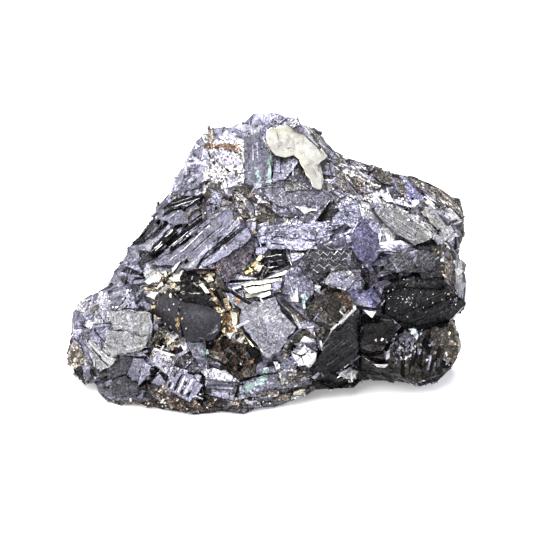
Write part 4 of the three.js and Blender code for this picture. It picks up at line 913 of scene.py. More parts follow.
# ------------------------------------------------------------------ crystals of the show side, by place
# finish, lift, lean [across, up], outline on the layout, mm
SHARDS = [
    # white and yellow splinters round the black face
    ("white", 0.5, (0.2, 0), [(-20, 27.3), (-18.6, 28.2), (-17.1, 30.3), (-18.9, 28.8)]),
    ("pale", 0.4, (0.1, 0), [(-18.6, 27.9), (-17.6, 27.7), (-17.2, 29.8)]),
    ("cream", 0.4, (-0.2, 0.1), [(-19.6, 26.9), (-17.4, 26.9), (-17.2, 26.2), (-18.6, 26.1)]),
    ("gold", 0.4, (0, 0.2), [(-19.4, 25.9), (-18.2, 25.9), (-17.8, 25.1), (-18.9, 24.9)]),
    ("cream", 0.4, (0, 0.3), [(-22.4, 24.9), (-20.9, 26.2), (-20.6, 25.7), (-21.8, 24.6)]),
    ("white", 0.4, (0.2, 0), [(-21.6, 24.2), (-20, 25.6), (-19.7, 25), (-20.9, 23.9)]),
    ("gold", 0.3, (0.1, 0), [(-23.4, 24.6), (-22.6, 25.4), (-22.1, 24.2)]),
    ("cream", 0.4, (0, 0), [(-18.4, 24.9), (-17.4, 25.4), (-17.2, 24.6), (-17.9, 24.1)]),
    ("cream", 0.3, (0.1, 0), [(-13.6, 25.6), (-12.8, 26), (-11.4, 24), (-12.2, 23.9)]),
    ("cream", 0.3, (-0.1, 0), [(-12.8, 27), (-11.2, 27.3), (-10.6, 26.4), (-11.8, 26)]),
    ("gold", 0.3, (0.1, 0.1), [(-12.2, 27.3), (-11.4, 28), (-10.4, 27.7), (-10.9, 27.1)]),
    # the striped cream crystal under the black window
    ("cream", 0.9, (0, 0.1), [(-5, 25.8), (-4.6, 25.2), (0.4, 26), (2.5, 26.4), (0, 26.6)]),
    ("cream", 0.7, (0, 0.1), [(-4.8, 25), (-3.6, 23.8), (0.4, 24.7), (0.6, 25.7)]),
    ("white", 0.6, (0, 0.1), [(-3.4, 23.4), (-1, 23.1), (0.5, 23.6), (0.5, 24.4)]),
    ("lavender", 1.0, (0.1, 0), [(0.8, 25.9), (2.6, 26.3), (2.5, 25), (1, 24.3)]),
    ("gold", 0.4, (0.1, 0), [(-0.6, 31.2), (-1.7, 31.5), (-2.4, 30.4), (-1.6, 30.2)]),
    ("gilt", 0.4, (0.2, 0), [(-1.9, 30.3), (-2.6, 30.2), (-3.3, 29.2), (-2.4, 29.1)]),
    ("cream", 0.4, (0, 0.1), [(-2.3, 29.6), (-1, 29.3), (-1.6, 28.2), (-2.9, 28.6)]),
    ("gilt", 0.4, (0.1, 0), [(-3.1, 28.9), (-4.7, 28.1), (-4.3, 27.6), (-2.9, 28.3)]),
    # cream and gold ridge between the two big faces
    ("cream", 0.8, (0.2, 0), [(-7.5, 20.5), (-6.1, 20), (-6.3, 16.7), (-6.9, 17.6)]),
    ("gold", 0.6, (0, 0), [(-8.8, 22.9), (-7.6, 23), (-7.4, 20.8), (-8.3, 20.4)]),
    ("ochre", 0.4, (0, 0), [(-8.2, 20), (-7.4, 20), (-6.6, 16.8), (-7.6, 16)]),
    # pale chips
    ("white", 0.7, (0, 0.2), [(5.2, 41), (9.7, 40.5), (9.6, 40.1), (8.5, 40.1), (7.2, 39.4), (6.2, 40.4)]),
    ("white", 0.6, (0.2, 0), [(9.3, 25.6), (10.4, 25.3), (9.9, 24), (9, 24.6)]),
    ("white", 0.7, (0, -0.2), [(4.9, 13.2), (6.4, 12.8), (5.5, 12)]),
    ("white", 0.6, (0, 0), [(1, 10.5), (2.2, 10.4), (2.4, 9.2), (1.6, 8.9)]),
    ("white", 0.5, (-0.1, 0), [(37.1, 28.6), (38, 28.9), (39, 28.3), (37.8, 27.3), (37.4, 27.6)]),
    ("white", 0.5, (0, 0), [(21.9, 43.2), (23.9, 43.9), (24.8, 42), (23.5, 42), (22.2, 43)]),
    ("silver", 0.8, (0, 0), [(20.9, 9.9), (23.9, 9.9), (23, 9.1), (21.5, 9.3)]),
    ("teal", 0.4, (0, 0), [(27.6, 16.8), (28.8, 17), (29.8, 15.6), (29.4, 14.6), (28.6, 15.8)]),
    ("pale", 0.3, (0, 0), [(36.8, 26), (38.2, 25.6), (38.6, 23.6), (37.8, 23)]),
    ("glass", 0.6, (0, 0), [(4.2, 58), (5.6, 58.4), (6.2, 57.2), (5, 56.6), (4, 57.1)]),
    ("pale", 0.5, (0.1, 0), [(-16, 51.4), (-14.9, 51.8), (-14.6, 50.4), (-15.7, 50.1)]),
    ("pale", 0.5, (0.1, 0), [(-18.8, 47), (-16.8, 47.4), (-16.4, 45.6), (-18.4, 45.3)]),
    ("umber", 0.5, (0, 0), [(21, 48), (23, 48), (25.1, 47), (25.2, 45.2), (23, 45.6), (21, 47)]),
    # the dark blocks of the left rim
    ("dark", 0.7, (0.2, 0), [(-24.8, 35.2), (-22.6, 38), (-21.4, 37.2), (-23.2, 34.6)]),
    ("night", 0.8, (0.1, 0), [(-23.4, 31.2), (-22.9, 33), (-18.6, 36.8), (-18, 36.2), (-21.5, 32.4)]),
    ("night", 0.7, (0.1, 0), [(-19.3, 33), (-15.6, 35.6), (-15.3, 35.1), (-19.4, 32.3)]),
    ("night", 0.6, (0.1, 0), [(-20, 41.4), (-18.5, 42.6), (-15.5, 43.2), (-13, 42.7), (-16, 41)]),
]
# thin bright or dark ridges: finish, width mm, points on the layout
RIDGES = [
    # hair cracks of the mirror face
    ("slate", 0.07, [(1.4, 56.2), (2.4, 53.8), (2, 52.2)]), ("grey", 0.07, [(4.6, 56.2), (5.2, 53)]),
    ("slate", 0.07, [(7, 54.4), (6.4, 51.6)]), ("grey", 0.07, [(8.6, 52.4), (9.2, 50)]),
    ("slate", 0.06, [(2.8, 52.4), (5.6, 52.6)]), ("slate", 0.07, [(8.8, 48.6), (9.6, 46.8)]),
    ("white", 0.22, [(-22.3, 32.3), (-18, 36)]), ("white", 0.18, [(-21.8, 31), (-15.8, 36)]),
    ("pale", 0.22, [(-21, 30.5), (-13.7, 37)]), ("white", 0.14, [(-19.4, 30.2), (-11.4, 37.2)]),
    ("pale", 0.14, [(-17.6, 29.6), (-9.6, 36.4)]), ("white", 0.18, [(-24.4, 33.4), (-20.8, 37.2)]),
    ("pale", 0.14, [(-22.8, 34.6), (-18.8, 38.4)]), ("white", 0.16, [(-19.4, 39), (-14.6, 42)]),
    ("pale", 0.14, [(-18.8, 38), (-13.8, 41)]), ("night", 0.18, [(-16.4, 31), (-9, 37.4)]),
    ("pale", 0.22, [(-24.4, 34.6), (-20.6, 38.2)]), ("white", 0.2, [(-23.2, 32), (-18.8, 36.4)]),
    ("pale", 0.2, [(-19.8, 41.4), (-15, 43)]), ("white", 0.16, [(-19, 41), (-13.6, 42.6)]),
    ("pale", 0.2, [(-18.6, 40.6), (-14.4, 41.8)]), ("white", 0.16, [(-18.8, 33.2), (-14.4, 36.4)]),
    ("night", 0.22, [(-5.8, 36.5), (-9.9, 32.9), (-12.9, 30.1)]),
    ("white", 0.14, [(-5.2, 36.2), (-9.4, 32.4)]),
    ("white", 0.25, [(3.3, 34.3), (3.7, 32.4), (4.6, 29.4)]), ("night", 0.18, [(4.2, 32), (7.2, 32)]),
    ("white", 0.12, [(-0.3, 31.1), (2.6, 31.5)]), ("pale", 0.1, [(-0.6, 29.9), (2.8, 30.4)]),
    ("white", 0.12, [(-0.8, 28.8), (2.9, 29.3)]), ("pale", 0.1, [(-0.8, 27.9), (3, 28.4)]),
    ("white", 0.22, [(-2.7, 14.7), (-1.5, 13), (-0.4, 11.6)]), ("white", 0.22, [(12.4, 43.4), (14, 41)]),
    ("pale", 0.22, [(7, 13.9), (9.8, 12.8)]), ("white", 0.22, [(22, 43.2), (24.6, 42.2)]),
    # saw-toothed growth lines of the dark middle face
    ("white", 0.12, [(9.4, 32), (10.2, 31.4), (10.8, 32.1), (11.6, 31.4), (12.2, 32.1), (13, 31.4),
        (13.6, 32.2), (14.4, 31.5), (15, 32.2), (15.9, 31.4)]),
    ("pale", 0.12, [(8.8, 30.8), (9.6, 30.2), (10.4, 30.9), (11.2, 30.2), (12, 30.9), (12.8, 30.2),
        (13.6, 30.9), (14.4, 30.2), (15.2, 30.9), (16.2, 30.2)]),
    ("pale", 0.14, [(8.4, 29.4), (9.2, 28.9), (10, 29.6), (11, 28.9), (12, 29.6), (13, 28.9), (14, 29.6),
        (15.2, 29)]),
    ("pale", 0.14, [(8.8, 28.6), (11.4, 26.6)]),
    ("pale", 0.14, [(3.2, 25.5), (4.8, 21.8)]), ("white", 0.14, [(4.2, 26), (5.4, 22.4)]),
    ("night", 0.22, [(-35, 17.6), (-31.2, 18)]), ("night", 0.22, [(-34.5, 16.6), (-31.6, 13.4)]),
    ("night", 0.18, [(-33.6, 20), (-32.4, 18.2)]),
    ("dark", 0.2, [(-30.6, 16.6), (-28.6, 16.9), (-26.8, 15.9), (-24.8, 15.3), (-22.9, 16)]),
    ("white", 0.3, [(-35.6, 14.4), (-33, 11.6), (-31, 9.8)]),
    ("night", 0.25, [(-35, 13.2), (-33, 10.8), (-31.6, 9.6)]),
    ("pale", 0.3, [(-35.2, 12), (-33.6, 9.8)]), ("white", 0.25, [(-33.2, 13.6), (-31.4, 11.8)]),
    ("night", 0.3, [(4.8, 12.2), (6.4, 11.6), (8.4, 12.2), (9.8, 12.4)]),
    ("night", 0.2, [(6.4, 11.6), (7.2, 9.6)]), ("night", 0.16, [(7.4, 13.2), (8, 12.2)]),
    ("pale", 0.16, [(35.7, 24.6), (39.1, 21.6)]), ("silver", 0.14, [(38.9, 21.2), (36.1, 18.4)]),
    # the banded block of the foot
    ("night", 0.55, [(-19.6, 5.4), (-18, 8.5)]), ("night", 0.5, [(-18.4, 4.8), (-16.9, 8)]),
    ("night", 0.55, [(-17.1, 4.2), (-15.6, 7.4)]), ("night", 0.5, [(-15.9, 3.6), (-14.4, 6.6)]),
    ("white", 0.4, [(-19, 5.1), (-17.5, 8.2)]), ("white", 0.4, [(-17.7, 4.5), (-16.2, 7.7)]),
    ("white", 0.4, [(-16.4, 4), (-15, 7)]),
    ("white", 0.25, [(-25.2, 7), (-24, 9.8)]), ("pale", 0.22, [(-24.2, 6.9), (-23.2, 9.4)]),
    ("silver", 0.22, [(13.6, 7.2), (16.8, 9.6)]), ("silver", 0.18, [(14.4, 6.8), (17.2, 8.6)]),
    ("silver", 0.18, [(13.4, 8), (15.8, 9.8)]), ("pale", 0.22, [(18.4, 11.8), (20, 10.4)]),
    ("silver", 0.14, [(22.6, 38.6), (29, 34.6)]), ("silver", 0.14, [(23.6, 39.6), (31, 35)]),
    ("pale", 0.18, [(25.2, 40.6), (33, 35.2)]), ("white", 0.22, [(28.6, 40.2), (33, 36.4), (35.4, 34.4)]),
    ("night", 0.25, [(25.2, 35.4), (27.4, 33.8), (29.4, 33.6)]),
    ("white", 0.18, [(21.2, 32.2), (27.4, 33.2)]),
    ("pale", 0.14, [(22, 30), (25, 27)]), ("pale", 0.14, [(24, 30.6), (26.8, 27.4)]),
    ("silver", 0.16, [(31.2, 40), (36, 36)]), ("pale", 0.16, [(27.6, 44.4), (36, 38.4)]),
]
# heaps of small angular crystals: finishes, count, across, up, reach, smallest and largest size, mm
HEAPS = [
    ("gold cream cream night umber white", 60, -19.8, 25.4, (2.0, 1.3), (0.12, 0.34)),
    ("gold gilt cream ochre night", 19, -7.9, 19.4, (0.5, 2.4), (0.17, 0.45)),
    ("gold cream cream umber plum", 90, -19.4, 14.6, (1.4, 2.4), (0.08, 0.26)),
    ("gilt gold", 6, 34.7, 27.8, (0.5, 0.6), (0.17, 0.38)),
    ("gilt gold", 3, 33.2, 31.9, (0.3, 0.3), (0.17, 0.3)),
    ("gilt gold cream", 4, -6.2, 38.3, (0.4, 0.4), (0.17, 0.3)),
    ("gilt gold", 4, -2.2, 35.9, (0.3, 0.3), (0.17, 0.3)),
    ("gilt gold cream", 12, -32.8, 22, (1.0, 0.9), (0.08, 0.22)),
    ("gold ochre rust", 7, 15.1, 22.6, (0.4, 0.8), (0.17, 0.38)),
    ("gilt ochre", 6, -17.4, 18.3, (0.3, 0.8), (0.17, 0.34)),
    ("gold ochre umber", 8, 36.5, 14, (0.8, 3), (0.17, 0.38)),
    ("gold gilt", 4, -8.7, 15.6, (0.6, 0.3), (0.17, 0.3)),
    ("gold gilt", 4, 4, 11.8, (0.3, 0.8), (0.17, 0.3)),
    ("rust umber rust ochre", 22, -8, 52.4, (2.4, 0.5), (0.12, 0.26)),
    ("ochre rust rust umber", 14, -7.6, 13.2, (1.6, 1.0), (0.17, 0.41)),
    ("rust ochre umber", 10, -4, 10.2, (0.9, 0.9), (0.17, 0.38)),
    ("ochre rust", 4, -11.4, 28.4, (1.6, 0.2), (0.17, 0.3)),
    ("white night umber pale lavender", 26, -15.6, 9.6, (1.6, 1.3), (0.14, 0.36)),
    ("white sugar pale night", 30, 4.6, 8.4, (1.8, 1.4), (0.12, 0.3)),
    ("white sugar lavender umber night earth", 90, -8.2, 48.6, (2.0, 2.2), (0.12, 0.28)),
    ("white pale silver night umber", 26, 25, 42, (3.6, 0.8), (0.12, 0.34)),
    ("white pale silver night", 22, 30, 40.6, (3, 1), (0.12, 0.34)),
    ("silver pale night", 60, 26.6, 22.6, (2.4, 1.5), (0.06, 0.16)),
    ("silver pale", 40, 37, 24, (1.4, 1.6), (0.06, 0.18)),
    ("gold cream umber", 30, -3.2, 28.8, (0.9, 0.9), (0.1, 0.26)),
    ("cream gold umber", 26, -11.8, 26, (1.3, 1.2), (0.1, 0.28)),
    ("lavender pale violet silver", 60, 26.8, 13.6, (2.0, 1.4), (0.12, 0.36)),
    ("night white silver dark", 30, 13, 29, (2.4, 1.2), (0.1, 0.22)),
    ("silver night pale", 22, 30, 22, (4, 2.2), (0.085, 0.17)),
    ("white pale white night silver", 22, 28.2, 40.2, (0.6, 0.5), (0.14, 0.34)),
    ("white pale white night silver", 22, 30.6, 38, (0.6, 0.5), (0.14, 0.34)),
    ("white pale white night silver", 22, 33, 35.6, (0.6, 0.5), (0.14, 0.34)),
    ("lavender violet pale night", 17, 26.4, 13.4, (1.8, 1.2), (0.17, 0.38)),
    ("rust earth umber night cream", 70, -17, 2.2, (6, 0.9), (0.1, 0.3)),
    ("earth umber cream night white", 44, -0.5, 2, (3.6, 0.9), (0.1, 0.3)),
    ("cream umber lavender night", 40, -34, 12, (2, 3.4), (0.1, 0.3)),
    ("white pale lavender night", 60, -28, 22.6, (2.4, 2.2), (0.1, 0.35)),
    ("white teal pale lavender", 8, 29, 16.2, (0.8, 0.6), (0.17, 0.38)),
    ("night plum umber", 11, 19.2, 26.6, (0.8, 1.6), (0.26, 0.6)),
]

# ------------------------------------------------------------------ colour of each face
# stains on the show side: finish, reach in mm, points on the layout
STAINS = [
    ("teal", 0.5, [(0.6, 51), (0.5, 48.8), (0.1, 45.6)]),
    ("teal", 0.3, [(-2.4, 48.6), (-1.6, 46)]),
    ("teal", 0.6, [(-4.8, 5), (-2.6, 5.9), (-0.9, 6.9), (-0.5, 8.6)]),
    ("teal", 0.35, [(-12.9, 12.4), (-11.8, 12.3)]),
    ("teal", 0.5, [(6.9, 21.4), (7.2, 24)]),
    ("rust", 0.6, [(-12, 53), (-9, 53), (-6, 52.6)]),
    ("rust", 0.5, [(13.6, 23.7), (14.8, 23.2), (16.2, 21)]),
    ("rust", 0.5, [(-13.4, 28.3), (-11, 28.3), (-9.4, 28.8)]),
    ("rust", 0.7, [(-9.2, 13), (-8, 14.2), (-6.8, 14)]),
]
# painted gleams and painted shade on the show side: strength, reach across and up in mm, place on the layout
PAINTED_GLEAMS_AND_SHADE = [
    (1.9, (2.6, 1.4), (-13.4, 19.8)), (0.6, (3.0, 1.3), (-12.4, 15.6)), (1.25, (1.4, 2.0), (-20.4, 21.6)),
    (0.7, (1.4, 2.0), (-18, 17.4)), (1.3, (2.6, 2.0), (-0.6, 19.6)), (0.8, (2.6, 2.0), (2.6, 14.6)),
    (1.25, (3.0, 1.6), (-8, 37.6)), (0.8, (3.0, 1.6), (-17.4, 31.4)), (1.5, (1.0, 2.6), (16.6, 16.6)),
    (0.7, (2.0, 2.6), (12.4, 10)), (1.3, (2.0, 1.4), (19, 35.4)), (0.8, (2.0, 1.6), (19.6, 30.4)),
    (1.2, (3.0, 1.6), (26, 38.4)), (0.8, (2.4, 1.6), (30, 34.6)), (1.6, (3.0, 1.2), (29, 23.8)),
    (0.6, (4.0, 2.0), (28, 7.4)), (1.5, (2.4, 1.4), (29, 11.6)), (1.15, (2.0, 1.6), (-28, 18)),
]
# painted shade: the tint is darkened in hollows and cracks by how shut in they are
HOLLOW_PAINTED_SHADE = 0.64                    # how much darker the deepest hollows are
HOLLOW_REACH = 9                  # how far away a wall still shuts a place in, mm
HOLLOW_START = 0.12               # height above the surface where the looking starts, mm
FAR_WALL = 0.6                    # how much less a wall at that reach counts than one close by
GRAIN_TONE, PATCH_TONE = 0.75, 0.2   # spread of tone from grain to grain and from patch to patch
TONES = (0.2, 3.0)                # darkest and brightest that a face's tone may get
UV_PER_MM = 0.1                   # scale of the cleavage lines' map


def near_stroke(across, up, points):
    """How far each place on the layout is from a line of points, mm."""
    best = np.full(len(across), 1e9)
    for (ax, ay), (bx, by) in zip(points, points[1:]):
        dx, dy = bx - ax, by - ay
        t = np.clip(((across - ax) * dx + (up - ay) * dy) / max(dx * dx + dy * dy, 1e-9), 0, 1)
        best = np.minimum(best, np.hypot(across - ax - t * dx, up - ay - t * dy))
    return best


def hollows(mesh, tree):
    """How shut in each corner of the surface is, 0 in the open to 1 deep in a crack; the tint gets painted
    shade by it.
    """
    rays = 14
    spread = []
    for i in range(rays):
        radius, turn = math.sqrt((i + 0.5) / rays), i * math.pi * (3 - math.sqrt(5))
        spread.append((radius * math.cos(turn), radius * math.sin(turn), math.sqrt(1 - radius * radius)))
    shut = np.zeros(len(mesh.vertices))
    for index, vertex in enumerate(mesh.vertices):
        normal = vertex.normal
        side = normal.orthogonal().normalized()
        other = normal.cross(side)
        start = vertex.co + normal * (HOLLOW_START * MM)
        blocked = 0.0
        for a, b, c in spread:
            hit = tree.ray_cast(start, side * a + other * b + normal * c, HOLLOW_REACH * MM)
            if hit[0] is not None:
                blocked += 1 - FAR_WALL * hit[3] / (HOLLOW_REACH * MM)
        shut[index] = blocked / rays
    return shut


def colour(mesh, frames, tree):
    """Tint, gloss, grain and lines of every face, kept with the mesh for its material; the tint holds painted
    shade in the hollows and painted gleams and painted shade on the show side.
    """
    names = list(FINISHES)
    table = np.array([[*FINISHES[name][0], *FINISHES[name][1:]] for name in names])
    finish = read_attribute(mesh, "finish")
    facet = read_attribute(mesh, "facet")
    tone = read_attribute(mesh, "tone", np.float32)
    centres = read(mesh, "polygons", "center", np.float64, 3)
    facing = read(mesh, "polygons", "normal", np.float64, 3) @ np.array(VIEW_SIDE)
    across, up, depth = layout(centres)
    front = (depth > 0) & (facing > 0.05)
    for name, reach, points in STAINS:
        uneven = reach * (1 + 0.5 * smooth_noise(centres / MM, 0.9, 31)[:, 0])
        finish[front & (near_stroke(across, up, points) < uneven)] = names.index(name)
    look = table[finish]
    grain_noise = smooth_noise(centres / MM, 0.55, 41)[:, 0]
    patch_noise = smooth_noise(centres / MM, 3.4, 42)[:, 0]
    tone = tone * (1 + GRAIN_TONE * grain_noise * look[:, 4]) * (1 + PATCH_TONE * patch_noise)
    tint = look[:, :3] * np.clip(tone, *TONES)[:, None]
    # painted shade: how shut in each corner is, used to darken the tint in the hollows
    shut = hollows(mesh, tree)

    loops = len(mesh.loops)
    loop_vertex = read(mesh, "loops", "vertex_index")
    loop_face = np.repeat(np.arange(len(finish)), read(mesh, "polygons", "loop_total"))
    points = read(mesh, "vertices", "co", np.float64, 3) / MM
    across, up, depth = layout(points * MM)
    # painted gleams and painted shade: soft brighter and darker patches multiplied into the tint
    painted_gleam_and_shade = np.ones(len(points))
    for strength, reach, (at_across, at_up) in PAINTED_GLEAMS_AND_SHADE:
        away = ((across - at_across) / reach[0]) ** 2 + ((up - at_up) / reach[1]) ** 2
        painted_gleam_and_shade *= 1 + (strength - 1) * np.exp(-away) * (depth > 0)
    # painted shade in the hollows times the painted gleams and painted shade, multiplied into the tint
    painted_shade_and_gleam = (1 - HOLLOW_PAINTED_SHADE * np.clip(shut * 1.25 - 0.12, 0, 1))[loop_vertex] * painted_gleam_and_shade[loop_vertex]
    shade = np.ones((loops, 4), dtype=np.float32)
    shade[:, :3] = np.clip(tint[loop_face] * painted_shade_and_gleam[:, None], 0, 1)
    mesh.color_attributes.new("tint", "FLOAT_COLOR", "CORNER").data.foreach_set("color", shade.ravel())
    nature = np.ones((loops, 4), dtype=np.float32)
    nature[:, :3] = look[loop_face][:, [4, 3, 5]]         # grain, gloss, lines
    mesh.color_attributes.new("nature", "FLOAT_COLOR", "CORNER").data.foreach_set("color", nature.ravel())
    axes = frames[facet[loop_face]]
    place = points[loop_vertex]
    uv = np.empty((loops, 2), dtype=np.float32)
    offset = (facet[loop_face] * 0.37) % 7
    uv[:, 0] = ((place * axes[:, 0:3]).sum(axis=1)) * UV_PER_MM + offset
    uv[:, 1] = ((place * axes[:, 3:6]).sum(axis=1)) * UV_PER_MM + offset
    mesh.uv_layers.new(name="cleavage").data.foreach_set("uv", uv.ravel())


# ------------------------------------------------------------------ shader groups
def new_group(name, inputs, outputs):
    """An empty shader group with named inputs and outputs."""
    tree = bpy.data.node_groups.new(name, "ShaderNodeTree")
    for label, kind, value in inputs:
        socket = tree.interface.new_socket(label, in_out="INPUT", socket_type=kind)
        if value is not None:
            socket.default_value = value
    for label, kind in outputs:
        tree.interface.new_socket(label, in_out="OUTPUT", socket_type=kind)
    return tree, tree.nodes.new("NodeGroupInput"), tree.nodes.new("NodeGroupOutput")


def math_node(tree, operation, a, b=None, clamp=False):
    """A maths node; a and b are sockets or numbers."""
    node = tree.nodes.new("ShaderNodeMath")
    node.operation = operation
    node.use_clamp = clamp
    for socket, value in zip(node.inputs, (a, b)):
        if hasattr(value, "links"):
            tree.links.new(value, socket)
        elif value is not None:
            socket.default_value = value
    return node.outputs[0]


def noise(tree, vector, scale, detail=3.0, rough=0.6):
    """A soft noise over a vector."""
    node = tree.nodes.new("ShaderNodeTexNoise")
    node.inputs["Scale"].default_value = scale
    node.inputs["Detail"].default_value = detail
    node.inputs["Roughness"].default_value = rough
    tree.links.new(vector, node.inputs["Vector"])
    return node.outputs["Fac"]


def stretched(tree, vector, scale):
    """A vector stretched by a different amount along each of its directions."""
    node = tree.nodes.new("ShaderNodeVectorMath")
    node.operation = "MULTIPLY"
    tree.links.new(vector, node.inputs[0])
    node.inputs[1].default_value = scale
    return node.outputs[0]


def span(tree, value, low, high, to_low=0.0, to_high=1.0):
    """A value's range moved to another range."""
    node = tree.nodes.new("ShaderNodeMapRange")
    for label, number in zip(("From Min", "From Max", "To Min", "To Max"), (low, high, to_low, to_high)):
        node.inputs[label].default_value = number
    tree.links.new(value, node.inputs["Value"])
    return node.outputs["Result"]


def cleavage_lines():
    """Fine square-crossing steps of a cleavage face: their height and the streaks they leave."""
    tree, given, made = new_group("cleavage_lines", [("Vector", "NodeSocketVector", None)],
                                  [("Height", "NodeSocketFloat"), ("Streak", "NodeSocketFloat")])
    vector = given.outputs["Vector"]
    long_way = noise(tree, stretched(tree, vector, (1.8, 27, 1)), 1.0, 2.0)
    cross_way = noise(tree, stretched(tree, vector, (19, 2.0, 1)), 1.0, 2.0)
    where = span(tree, noise(tree, vector, 4.0, 1.0), 0.42, 0.58)
    steps = math_node(tree, "SNAP", long_way, 0.07)
    cross = math_node(tree, "MULTIPLY", math_node(tree, "SNAP", cross_way, 0.09), where)
    height = math_node(tree, "ADD", steps, math_node(tree, "MULTIPLY", cross, 0.6))
    hairs = math_node(tree, "SUBTRACT", span(tree, long_way, 0.57, 0.63), span(tree, long_way, 0.42, 0.36))
    cross_hairs = math_node(tree, "SUBTRACT", span(tree, cross_way, 0.58, 0.64),
                            span(tree, cross_way, 0.42, 0.36))
    streak = math_node(tree, "ADD", math_node(tree, "MULTIPLY", hairs, 0.6),
                       math_node(tree, "MULTIPLY", math_node(tree, "MULTIPLY", cross_hairs, 0.5), where))
    tree.links.new(height, made.inputs["Height"])
    tree.links.new(streak, made.inputs["Streak"])
    return tree


def tarnish_film():
    """A thin film that turns the lead grey warmer in broad patches."""
    tree, given, made = new_group("tarnish_film",
                                  [("Vector", "NodeSocketVector", None), ("Color", "NodeSocketColor", None),
                                   ("Amount", "NodeSocketFloat", 0.5)],
                                  [("Color", "NodeSocketColor")])
    patches = span(tree, noise(tree, given.outputs["Vector"], 170.0, 4.0, 0.65), 0.42, 0.66)
    mix = tree.nodes.new("ShaderNodeMix")
    mix.data_type = "RGBA"
    mix.blend_type = "MULTIPLY"
    tree.links.new(math_node(tree, "MULTIPLY", patches, given.outputs["Amount"]), mix.inputs["Factor"])
    tree.links.new(given.outputs["Color"], mix.inputs[6])
    mix.inputs[7].default_value = (1.0, 0.97, 0.78, 1)
    tree.links.new(mix.outputs[2], made.inputs["Color"])
    return tree


def cracks():
    """Thin broken cracks: how open the surface is, 1 on the whole and 0 in a crack."""
    tree, given, made = new_group("cracks", [("Vector", "NodeSocketVector", None)],
                                  [("Whole", "NodeSocketFloat")])
    vector = given.outputs["Vector"]
    bend = tree.nodes.new("ShaderNodeTexNoise")
    bend.inputs["Scale"].default_value = 500.0
    bend.inputs["Detail"].default_value = 3.0
    tree.links.new(vector, bend.inputs["Vector"])
    throw = tree.nodes.new("ShaderNodeVectorMath")
    throw.operation = "MULTIPLY_ADD"
    tree.links.new(bend.outputs["Color"], throw.inputs[0])
    throw.inputs[1].default_value = (0.0022, 0.0022, 0.0022)
    tree.links.new(vector, throw.inputs[2])
    cells = tree.nodes.new("ShaderNodeTexVoronoi")
    cells.feature = "DISTANCE_TO_EDGE"
    cells.inputs["Scale"].default_value = 330.0
    tree.links.new(throw.outputs[0], cells.inputs["Vector"])
    where = span(tree, noise(tree, vector, 330.0, 2.0), 0.5, 0.62, 0.0, 0.024)
    open_at = math_node(tree, "LESS_THAN", cells.outputs["Distance"], where)
    tree.links.new(math_node(tree, "SUBTRACT", 1.0, open_at), made.inputs["Whole"])
    return tree


def micro_facets():
    """Tiny flat faces, each leaning its own way: their height and a shade of their own."""
    tree, given, made = new_group("micro_facets",
                                  [("Vector", "NodeSocketVector", None), ("Size", "NodeSocketFloat", 0.0005)],
                                  [("Height", "NodeSocketFloat"), ("Shade", "NodeSocketFloat")])
    scaled = tree.nodes.new("ShaderNodeVectorMath")
    scaled.operation = "SCALE"
    tree.links.new(given.outputs["Vector"], scaled.inputs[0])
    tree.links.new(math_node(tree, "DIVIDE", 1.0, given.outputs["Size"]), scaled.inputs["Scale"])
    cells = tree.nodes.new("ShaderNodeTexVoronoi")
    cells.inputs["Scale"].default_value = 1.0
    tree.links.new(scaled.outputs[0], cells.inputs["Vector"])
    arm = tree.nodes.new("ShaderNodeVectorMath")
    arm.operation = "SUBTRACT"
    tree.links.new(scaled.outputs[0], arm.inputs[0])
    tree.links.new(cells.outputs["Position"], arm.inputs[1])
    lean = tree.nodes.new("ShaderNodeVectorMath")
    lean.operation = "SUBTRACT"
    tree.links.new(cells.outputs["Color"], lean.inputs[0])
    lean.inputs[1].default_value = (0.5, 0.5, 0.5)
    slope = tree.nodes.new("ShaderNodeVectorMath")
    slope.operation = "DOT_PRODUCT"
    tree.links.new(arm.outputs[0], slope.inputs[0])
    tree.links.new(lean.outputs[0], slope.inputs[1])
    tree.links.new(slope.outputs["Value"], made.inputs["Height"])
    split = tree.nodes.new("ShaderNodeSeparateColor")
    tree.links.new(cells.outputs["Color"], split.inputs[0])
    tree.links.new(split.outputs[0], made.inputs["Shade"])
    return tree


